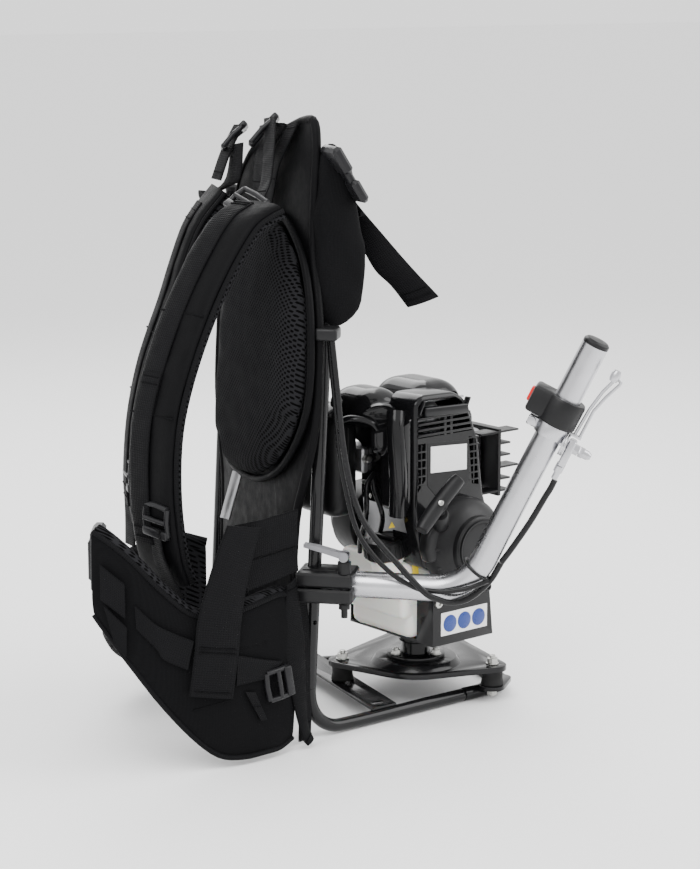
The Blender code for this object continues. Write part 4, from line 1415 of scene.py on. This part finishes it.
@dataclass
class TubeFrame:
    """The gloss black tube frame with its rubber-mounted swivel base."""

    radius: float = 6.5
    body: str = "frame"

    def build(self) -> None:
        """Draws the tubes smooth and dresses the base."""
        for name, side in (("near", -1), ("far", 1)):
            ends = [(upright_x(z), side * HALF_WIDTH, z) for z in (51.8, 200.0, 350.0, 503.0)]
            rod = sweep(ends, self.radius, 40)
            if side < 0:
                rod = carved(rod, turned([(2.2, -12), (2.2, 12)], DESIGN @ towards(
                    (0, 1, 0), (upright_x(117), -HALF_WIDTH, 117)), 20))
            cap = turned([(6.6, -1.5), (6.6, 2.5), (4.0, 5.0)], DESIGN @ towards(
                (LEAN, 0, 1), (upright_x(503), side * HALF_WIDTH, 503)), 32)
            settle(rod, f"upright_{name}_tube", GLOSS, self.body, (f"upright_{name}",))
            settle(cap, f"upright_{name}_cap", MOULDED, self.body)
            collar = turned([(7.0, -4), (7.3, -3), (7.3, 3), (7.0, 4)], DESIGN @ towards(
                (LEAN, 0, 1), (upright_x(470), side * HALF_WIDTH, 470)), 32)
            settle(collar, f"upright_{name}_collar", GLOSS, self.body)
            self.dress_tube(f"side_rail_{name}")
        for node in ("rear_rail", "cross_member", "base_plate", "swivel_hub"):
            carry(node, GLOSS, self.body, 0.6, 2)
        self.dress_tube("crossbar")
        for name in ("front", "near", "far"):
            carry(f"rubber_mount_{name}", RUBBER, self.body, 0.6, 3)
            carry(f"mount_stud_{name}", ZINC, self.body, 0.35, 2)
        for name in ("left", "right", "rear"):
            carry(f"hub_bolt_{name}", ZINC, self.body, 0.3, 2)

    def dress_tube(self, node: str) -> None:
        """A packed tube made rounder by subdivision, its ends kept crisp.

        Args:
            node: The tube's node.
        """
        obj = copied(node)
        sharp = math.radians(60)
        with editing(obj):
            bpy.ops.mesh.remove_doubles(threshold=1e-5)
            bpy.ops.mesh.tris_convert_to_quads(face_threshold=sharp, shape_threshold=sharp)
        modify(obj, "BEVEL", width=0.3 * MM, segments=1, limit_method="ANGLE", angle_limit=sharp)
        modify(obj, "SUBSURF", levels=2, render_levels=2)
        settle(obj, node + "_tube", GLOSS, self.body, (node,), 60)


# ---------------------------------------------------------------- engine


def prism(outline: list, low: float, high: float, place: Matrix, bevel: float = 0.0,
          steps: int = 3) -> bpy.types.Object:
    """A plate standing in the engine's X-Z plane.

    Args:
        outline: (x, z) points round it.
        low: Its front face's Y.
        high: Its back face's Y.
        place: The placing matrix.
        bevel: Radius of its rounded edges.
        steps: Faces across them.

    Returns:
        The plate.
    """
    obj = made([(x, low, z) for x, z in outline], [tuple(range(len(outline)))])
    with editing(obj):
        bpy.ops.mesh.extrude_region_move(TRANSFORM_OT_translate={"value": (0.0, high - low, 0.0)})
        bpy.ops.mesh.select_all(action="SELECT")
        bpy.ops.mesh.normals_make_consistent(inside=False)
    if bevel:
        modify(obj, "BEVEL", width=bevel, segments=steps, limit_method="ANGLE", angle_limit=math.radians(25))
    obj.data.transform(place)
    return obj


def moulded_blend(parts: list, voxel: float, rounds: int) -> bpy.types.Object:
    """Blocks run together and smoothed as one moulding.

    Args:
        parts: Overlapping closed pieces.
        voxel: Size of the remesh in millimetres.
        rounds: Rounds of smoothing.

    Returns:
        The moulding.
    """
    whole = joined(*parts)
    modify(whole, "REMESH", mode="VOXEL", voxel_size=voxel * MM)
    return modify(whole, "SMOOTH", factor=0.5, iterations=rounds)


@dataclass
class Engine:
    """The small four-stroke engine on its bracket, with covers, tank, starter and exhaust."""

    crank: tuple = (5.0, 170.0)
    front: float = -57.0
    cover: tuple = (
        (-53, 196), (-53, 314), (-44, 321), (-2, 320), (11, 313), (21, 294), (31, 268), (38, 215),
        (46, 190), (40, 150), (-10, 136), (-40, 150),
    )
    slats: tuple = (298.5, 293.0, 287.5, 282.0)

    def about_crank(self, at: float) -> Matrix:
        """Axes on the crank's line at a height along the engine's own Y."""
        return ENGINE @ towards((0, 1, 0), (self.crank[0], at, self.crank[1]))

    def build(self) -> None:
        """Builds and dresses the whole engine."""
        self.block_and_bracket()
        self.tank()
        self.fan_side()
        self.shrouds()
        self.starter()
        self.intake()
        self.exhaust()
        self.labels()

    def block_and_bracket(self) -> None:
        """Bracket, crankcase, finned cylinder, clutch housing and shaft."""
        for node, finish, body, bevel, steps in (
            ("engine_bracket", GLOSS, "engine", 0.8, 3),
            ("swivel_cap", GLOSS, "engine", 0.8, 3),
            ("crankcase", CAST, "engine", 1.6, 3),
            ("cylinder", CAST, "engine", 0.5, 2),
            ("clutch_housing", MOULDED, "engine", 0.8, 3),
            ("crankshaft", STEEL, "crank", 0.4, 2),
        ):
            carry(node, finish, body, bevel, steps)
        for number, (x, z) in enumerate(((43, 118), (-22, 112))):
            screw = turned([(4.6, 0), (4.6, 2.6), (3.8, 3.2), (2.2, 3.2), (2.0, 1.6)],
                           ENGINE @ towards((0, -1, 0), (x, -57.0, z)), 28)
            settle(screw, f"bracket_screw_{number}", MOULDED if number == 0 else ZINC, "engine")
        dome = turned([(15, -6), (14.4, 1), (12.2, 6), (8.6, 9.6), (4.0, 11.4)],
                      ENGINE @ Matrix.Translation((-20, -34, 300)), 40)
        settle(dome, "cylinder_head_dome", CAST, "engine")
        path = smooth_path([(-24, -36, 309), (-18, -26, 300), (0, -22, 296), (14, -20, 284)])
        settle(sweep(path, 3.2, 12, ENGINE), "spark_lead", CABLE, "engine")

    def tank(self) -> None:
        """The milky tank with its lip, and the ribbed filler cap."""
        carry("fuel_tank", POLY, "engine", 1.2, 3)
        tilt = math.radians(10.0)
        place = ENGINE @ towards((-math.sin(tilt), 0, math.cos(tilt)), (-46, -10, 150))
        cap = turned([(20.6, 5.6), (21.7, 7), (21.7, 20), (21.0, 22.4), (19.2, 24.0), (15.5, 24.6),
                      (15.0, 23.6), (9.0, 23.4)], place, 96)
        ribs = []
        for k in range(26):
            a = 2 * math.pi * k / 26
            spot = place @ Matrix.Rotation(a, 4, "Z")
            ribs.append(block((21.0, 22.9), (-0.9, 0.9), (7.4, 20.6), spot, 0.5, 2))
        grip = block((-15, 15), (-2.4, 2.4), (22.0, 27.4), place, 1.6, 3)
        settle(joined(cap, *ribs, grip), "fuel_cap_ribbed", MOULDED, "filler_cap", ("fuel_cap",))
        neck = turned([(18.6, 2.2), (19.6, 3.0), (19.6, 4.6), (18.6, 5.2)], place, 64)
        settle(neck, "filler_neck_ring", POLY, "engine")
        seam = [(x, y, 108.0) for x, y in (
            (-37.4, -32.4), (-10, -32.5), (20, -32.5), (42.4, -32), (42.5, 10), (42.4, 58))]
        settle(sweep(seam, 0.7, 8, ENGINE), "tank_parting_line", POLY, "engine")
        for number, points in enumerate((
            ((-56, 2, 236), (-60, -6, 222), (-57, -12, 204), (-50, -6, 190), (-44, 6, 172), (-40, 18, 158)),
            ((-50, 2, 240), (-66, -2, 228), (-70, -6, 208), (-62, 6, 188), (-56, 20, 168), (-50, 28, 152)),
        )):
            settle(sweep(smooth_path(points, 5), 2.6, 14, ENGINE), f"fuel_line_{number}", CABLE, "engine")

    def fan_side(self) -> None:
        """The fan cover: a shell with slats, windows and grids, and what shows behind them."""
        outer = prism(list(self.cover), self.front, -17.0, ENGINE, 4.0, 4)
        inner_line = [(x * 0.93 - 0.6, 226 + (z - 226) * 0.965) for x, z in self.cover]
        tools = [prism(inner_line, -53.6, 0.0, ENGINE)]
        for window in (
            [(-49, 279.5), (-49, 311), (-44, 316), (0, 315), (8, 309.5), (16, 295), (21.5, 279.5)],
            [(-49, 274), (-39, 274), (-39, 238), (-49, 226)],
            [(17, 274), (26, 272), (31, 224), (22, 226)],
        ):
            tools.append(prism(window, -64, -45, ENGINE))
        tools.append(block((-70, -46), (-42, 0), (130, 206), ENGINE))
        shell = carved(outer, *tools)
        settle(shell, "fan_cover_shell", COVER, "engine", ("fan_cover",))
        bars = []
        for z in self.slats:
            right = 22.0 - (z - 279.5) * 0.2
            bars.append(block((-50, right), (-58.6, -50.5), (z - 1.2, z + 1.2), ENGINE, 0.8, 2))
        for x in (-16, -8):
            bars.append(block((x, x + 3.5), (-57.6, -51.5), (279, 300), ENGINE, 0.6, 2))
        visor = [(-42, 300.5), (-42, 309.5), (13, 307.5), (15.5, 298)]
        bars.append(prism(visor, -60.5, -53.5, ENGINE, 1.4, 3))
        settle(joined(*bars), "fan_cover_slats", COVER, "engine")
        grid = []
        for wide, rungs in (((-50, -38), range(234, 274, 8)), ((17, 31), range(230, 274, 7))):
            grid += [block(wide, (-57.2, -53), (z - 0.9, z + 0.9), ENGINE, 0.5, 2) for z in rungs]
        grid += [block((x, x + 1.6), (-57.0, -53), (226, 273), ENGINE, 0.5, 2) for x in (-45, 23.6)]
        settle(joined(*grid), "fan_cover_grids", COVER, "engine")
        for name, side, low in (("left", (-49.0, -46.4), 303.0), ("right", (10.0, 12.6), 300.0)):
            rib = prism([(side[0], low), (side[0] + 6, low + 13), (side[1] + 6, low + 13), (side[1], low)],
                        -59.0, -52.0, ENGINE, 0.8, 2)
            settle(rib, f"corner_web_{name}", COVER, "engine")
        fan = [turned([(31, -6), (31, 2)], self.about_crank(-46), 48)]
        for k in range(14):
            spot = self.about_crank(-46) @ Matrix.Rotation(2 * math.pi * k / 14, 4, "Z")
            fan.append(block((14, 33), (-1.2, 1.2), (-8, 6), spot, 0.5, 2))
        settle(joined(*fan), "cooling_fan", CAST, "crank")
        back = [block((-46, 26), (-40, -37), (z, z + 2.2), ENGINE, 0.6, 2) for z in range(228, 312, 9)]
        settle(joined(*back), "head_cooling_fins", CAST, "engine")

    def shrouds(self) -> None:
        """The two gloss humps over the head and the column down the left front."""
        left = moulded_blend([
            block((-88, -28), (-28, 46), (266, 323), ENGINE, 26, 7),
            block((-70, -51), (-55, 20), (208, 306), ENGINE, 8, 5),
            block((-84, -50), (-38, 30), (262, 312), ENGINE, 13, 5),
        ], 1.5, 12)
        left = carved(left, turned([(4, -30), (12, -22), (16, -8), (16, 30), (12, 40)],
                                   ENGINE @ towards((-0.75, 0.62, -0.25), (-76, -42, 304)), 40),
                      block((-96, -55.5), (-28, 60), (200, 290), ENGINE, 8, 4))
        settle(left, "left_shroud", COVER, "engine", ("top_cover",), 50)
        right = moulded_blend([
            block((-24, 44), (-32, 54), (266, 324), ENGINE, 26, 7),
            block((-20, 46), (-10, 56), (268, 308), ENGINE, 14, 6),
        ], 1.5, 10)
        right = carved(right, block((-18, 34), (-38, 44), (258, 313), ENGINE, 8, 4))
        settle(right, "right_shroud", COVER, "engine", smooth=50)
        rear = moulded_blend([
            block((24, 64), (-18, 50), (262, 292), ENGINE, 11, 5),
            block((-40, 40), (22, 58), (262, 300), ENGINE, 12, 5),
        ], 1.8, 8)
        settle(rear, "rear_shroud", COVER, "engine", smooth=50)
        path = [(-64, -42, 306), (-68, -46, 290), (-68, -49, 262), (-66, -49, 230), (-65, -46, 205)]
        column = sweep(smooth_path(path, 5), 9.0, 24, ENGINE)
        settle(column, "left_front_column", COVER, "engine", smooth=60)
        path = [(-104, 0, 294), (-94, -12, 299), (-80, -24, 295), (-73, -30, 284)]
        lip = sweep(smooth_path(path, 5), 4.0, 14, ENGINE, flat=0.6)
        settle(lip, "left_shroud_lip", COVER, "engine", smooth=60)

    def starter(self) -> None:
        """Recoil cover with its boss, ribs and lugs, the rope and the T grip."""
        place = self.about_crank(0)
        dish = turned([(46, -57.3), (46, -64), (44.5, -69), (41, -75), (36, -80), (31, -82.5), (30.2, -87),
                       (28.5, -88.6), (20, -89.2), (4, -89.2)], place, 96)
        line = [(-46, 158), (-50, 172), (-48, 186), (-30, 202), (-20, 190), (-20, 160)]
        lug = prism(line, -72, -58, ENGINE, 4, 4)
        line = [(0, 196), (0, 210), (5, 216), (14, 216), (20, 210), (22, 196)]
        ear = prism(line, -67, -58, ENGINE, 2.5, 3)
        ribs = []
        for a in (178, 205, 235, 262):
            c, s = math.cos(math.radians(a)), math.sin(math.radians(a))
            path = [(5 + c * 30, -81.5, 170 + s * 30), (5 + c * 44, -71, 170 + s * 44)]
            ribs.append(sweep(path, 1.5, 8, ENGINE))
        dish = carved(dish, turned([(37, -50), (37, -77.6)], place, 64))
        settle(joined(dish, lug, ear, *ribs), "recoil_cover_dished", MOULDED, "engine", ("recoil_housing",))
        ring = turned([(26.5, -89.0), (26.5, -90.2), (24.5, -90.2), (24.5, -89.0)], place, 96)
        settle(ring, "recoil_boss_ring", MOULDED, "engine")
        pull = Vector((-0.5, -0.55, 0.67)).normalized()
        grip_at = Vector((-51, -92, 222))
        guide = turned([(8.5, -40), (8.5, -22), (7.0, -18.5), (3.4, -18.0), (2.8, -20.0)],
                       ENGINE @ towards(tuple(pull), tuple(grip_at)), 36)
        settle(guide, "rope_guide", MOULDED, "engine")
        screw = turned([(4.8, 0), (4.8, 3.0), (4.2, 3.6), (2.4, 3.6), (2.2, 1.4)],
                       ENGINE @ towards((0, -1, 0), (11, -66.8, 206)), 32)
        settle(screw, "recoil_screw", ZINC, "engine")
        carry("recoil_pulley", MOULDED, "starter_pulley", 0.5, 2)
        bar = moulded_blend([
            sweep(smooth_path([(-0.5, 0, -33), (1.0, 0, -24), (2.0, 0, 0), (1.0, 0, 24), (-0.5, 0, 33)], 5),
                  [6.2 + 1.6 * math.sin(math.pi * i / 20) for i in range(21)], 20,
                  ENGINE @ towards((0.74, 0.0, 0.67), tuple(grip_at)), flat=0.85),
            sweep([grip_at - pull * 15.5, grip_at - pull * 8, grip_at], [4.6, 5.2, 7.5], 18, ENGINE),
        ], 0.8, 4)
        settle(bar, "starter_t_grip", MOULDED, "starter", ("starter_grip",), 50)
        mark = turned([(2.6, 0), (2.6, 0.6), (2.0, 0.9)], ENGINE @ towards(
            (-0.55, -0.75, 0.36), tuple(grip_at + Vector((-4.6, -6.0, 3.0)))), 24)
        settle(mark, "grip_rivet", ZINC, "starter")
        rope = sweep([grip_at - pull * t for t in (18.0, 17.4, 16.6, 15.8)], 1.9, 12, ENGINE)
        settle(rope, "starter_rope_end", CABLE, "starter")

    def intake(self) -> None:
        """Air cleaner with its flap, carburettor, primer bulb and choke lever."""
        box = moulded_blend([block((-98, -63), (11, 76), (194, 294), ENGINE, 12, 6)], 1.6, 4)
        settle(box, "air_cleaner_moulding", MOULDED, "engine", ("air_cleaner_cover",), 50)
        seam = [(-80, y, z) for y, z in ((10.6, 206), (10.4, 240), (10.6, 284))]
        settle(sweep(seam, 0.8, 8, ENGINE), "air_cleaner_seam", MOULDED, "engine")
        front = [(-101, 14, 300), (-86, 13, 305), (-70, 12, 301), (-58, 11, 290), (-52, 10, 270)]
        flap = strip(front, [(x, 62, z) for x, _, z in front], 4.0, 0, ENGINE, 5)
        settle(flap, "air_cleaner_flap", COVER, "engine", smooth=60)
        knob = turned([(6, 0), (7, 1), (7, 7), (5.5, 8.5)],
                      ENGINE @ towards((-0.2, -0.4, 1), (-84, 22, 305)), 32)
        settle(knob, "cleaner_latch_knob", MOULDED, "engine")
        carry("carburettor", CAST, "engine", 0.6, 2)
        carry("primer_bulb", BULB, "primer", 0.0)
        carry("choke_lever", MOULDED, "choke", 0.4, 2)
        parts = [
            turned([(4, 0), (4, 9), (2.6, 11)], ENGINE @ towards((-0.3, -1, 0.2), (-57, 12, 250)), 24),
            turned([(2.6, 0), (2.6, 14)], ENGINE @ towards((0.2, -1, -0.4), (-48, 10, 246)), 20),
            block((-62, -58), (0, 12), (226, 230), ENGINE, 1.0, 2),
            turned([(3.4, 0), (3.4, 4), (1.6, 5)], ENGINE @ towards((-0.4, -1, 0), (-52, 8, 214)), 20),
        ]
        settle(joined(*parts), "carburettor_fittings", ZINC, "engine")
        gasket = block((-23.4, -21.8), (8, 42), (228, 266), ENGINE, 0.5, 2)
        settle(gasket, "inlet_gasket", STEEL, "engine")

    def exhaust(self) -> None:
        """Muffler and the finned guard round it."""
        carry("muffler", STEEL, "engine", 1.2, 3)
        carry("muffler_guard", MOULDED, "engine", 0.4, 2)
        grid = [block((79, 80.4), (-34, 48), (z + 5.5, z + 7.2), ENGINE, 0.4, 2) for z in range(206, 266, 12)]
        grid += [block((78.6, 80.2), (y, y + 2), (204, 268), ENGINE, 0.4, 2) for y in (-22, -2, 18, 38)]
        settle(joined(*grid), "guard_grid", MOULDED, "engine")

    def labels(self) -> None:
        """Blank plates, three plain discs and two yellow tags."""
        plate = prism([(-33, 244), (-33, 270), (14, 267), (14, 241.5)], self.front - 1.1, self.front - 0.4,
                      ENGINE, 0.2, 1)
        settle(plate, "rating_plate_blank", WHITE, "engine")
        line = [(-37, 232), (-37, 274), (16.5, 271), (18, 232), (0, 214), (-20, 214)]
        backing = prism(line, self.front - 0.4, self.front + 2, ENGINE, 0.3, 1)
        settle(backing, "plate_backing", MOULDED, "engine")
        sign = prism([(-18, 77.5), (-18, 101), (43.5, 101), (43.5, 77.5)], -58.0, -57.2, ENGINE, 0.3, 1)
        settle(sign, "sign_plate_blank", WHITE, "engine")
        for number, x in enumerate((-6.5, 12.5, 31.5)):
            disc = turned([(8.6, 0), (8.6, 0.35), (8.3, 0.5)],
                          ENGINE @ towards((0, -1, 0), (x, -58.0, 89.2)), 48)
            settle(disc, f"plain_blue_disc_{number}", BLUE, "engine")
        for name, line in (("upper", [(-62, 196), (-66, 190), (-58, 190)]),
                           ("lower", [(-30, 160), (-26, 132), (-34, 132), (-36, 158)])):
            tag = prism(line, -34.6, -33.6, ENGINE, 0.2, 1)
            settle(tag, f"yellow_tag_{name}", YELLOW, "engine")


# ---------------------------------------------------------------- handle and clamp


@dataclass
class Handle:
    """The bright handle with its clamp, switch and throttle lever."""

    radius: float = 12.5
    start: float = 14.0
    vertex: float = 146.8
    level: float = 155.0
    bend: float = 55.0
    length: float = 261.0

    def centreline(self) -> list[Vector]:
        """The tube's path in the handle's plane."""
        corner = Vector((self.vertex, 0.0, self.level))
        back, ahead = Vector((-1, 0, 0)), Vector((math.cos(HANDLE_RISE), 0, math.sin(HANDLE_RISE)))
        half = back.angle(ahead) / 2
        run = self.bend / math.tan(half)
        centre = corner + (back + ahead).normalized() * self.bend / math.sin(half)
        first = corner + back * run - centre
        turn = math.pi - 2 * half
        path = [Vector((self.start, 0, self.level)), Vector((self.start + 50, 0, self.level))]
        for i in range(25):
            path.append(centre + Matrix.Rotation(-turn * i / 24, 3, "Y") @ first)
        path += [corner + ahead * t for t in (self.length * 0.55, self.length * 0.8, self.length)]
        return path

    def build(self) -> None:
        """Dresses the handle, its clamp and its controls."""
        tube = sweep(self.centreline(), self.radius, 64, HANDLE)
        settle(tube, "handle_tube_bright", BRIGHT, "handle", ("handle_tube",), 50)
        for node, finish, body, bevel, steps in (
            ("handle_plug", MOULDED, "handle", 0.5, 3),
            ("switch_housing", MOULDED, "handle", 1.2, 3),
            ("kill_rocker", RED, "rocker", 0.6, 3),
            ("throttle_bracket", BRIGHT, "handle", 0.4, 2),
            ("throttle_lever", BRIGHT, "throttle", 0.3, 2),
            ("clamp_upper", MOULDED, "clamp", 1.2, 3),
            ("clamp_lower", MOULDED, "clamp", 1.2, 3),
            ("clamp_bolt", MOULDED, "clamp", 0.4, 2),
            ("clamp_lever", GREY, "clamp_arm", 0.7, 3),
        ):
            carry(node, finish, body, bevel, steps)
        knob = turned([(3.6, 66), (4.6, 69), (4.6, 73), (3.2, 76.5)], on_tube(THROTTLE_AT) @ towards(
            (0, 0, 1), (-29, 0, 0)), 28)
        settle(knob, "throttle_lever_tip", BRIGHT, "throttle")
        screw = turned([(3.4, 0), (3.4, 4), (2.8, 4.6), (1.6, 4.6), (1.4, 2.6)],
                       on_tube(THROTTLE_AT) @ towards((0, -1, 0), (20, -6.5, 0)), 24)
        settle(screw, "band_screw", ZINC, "handle")
        path = self.centreline()
        along = (path[22] - path[20]).normalized()
        place = HANDLE @ towards(tuple(along), tuple(path[21]))
        loop = [Matrix.Rotation(2 * math.pi * k / 36, 3, "Z") @ Vector((14.6, 0, 0)) for k in range(36)]
        settle(sweep(loop, 1.2, 8, place, looped=True), "cable_tie", MOULDED, "handle", smooth=60)
        for name, z in (("upper", 169.6), ("lower", 140.4)):
            rib = block((-8, 24), (-12, 8), (z - 0.8, z + 0.8), HANDLE, 0.6, 2)
            settle(rib, f"clamp_{name}_pad", MOULDED, "clamp")


def main() -> None:
    """Builds every sub-assembly."""
    logging.basicConfig(level=logging.INFO, format="%(name)s: %(message)s")
    studio = Studio()
    studio.camera()
    for part in (Cables(), Harness(), TubeFrame(), Engine(), Handle()):
        part.build()
    studio.build()


if __name__ == "__main__":
    main()
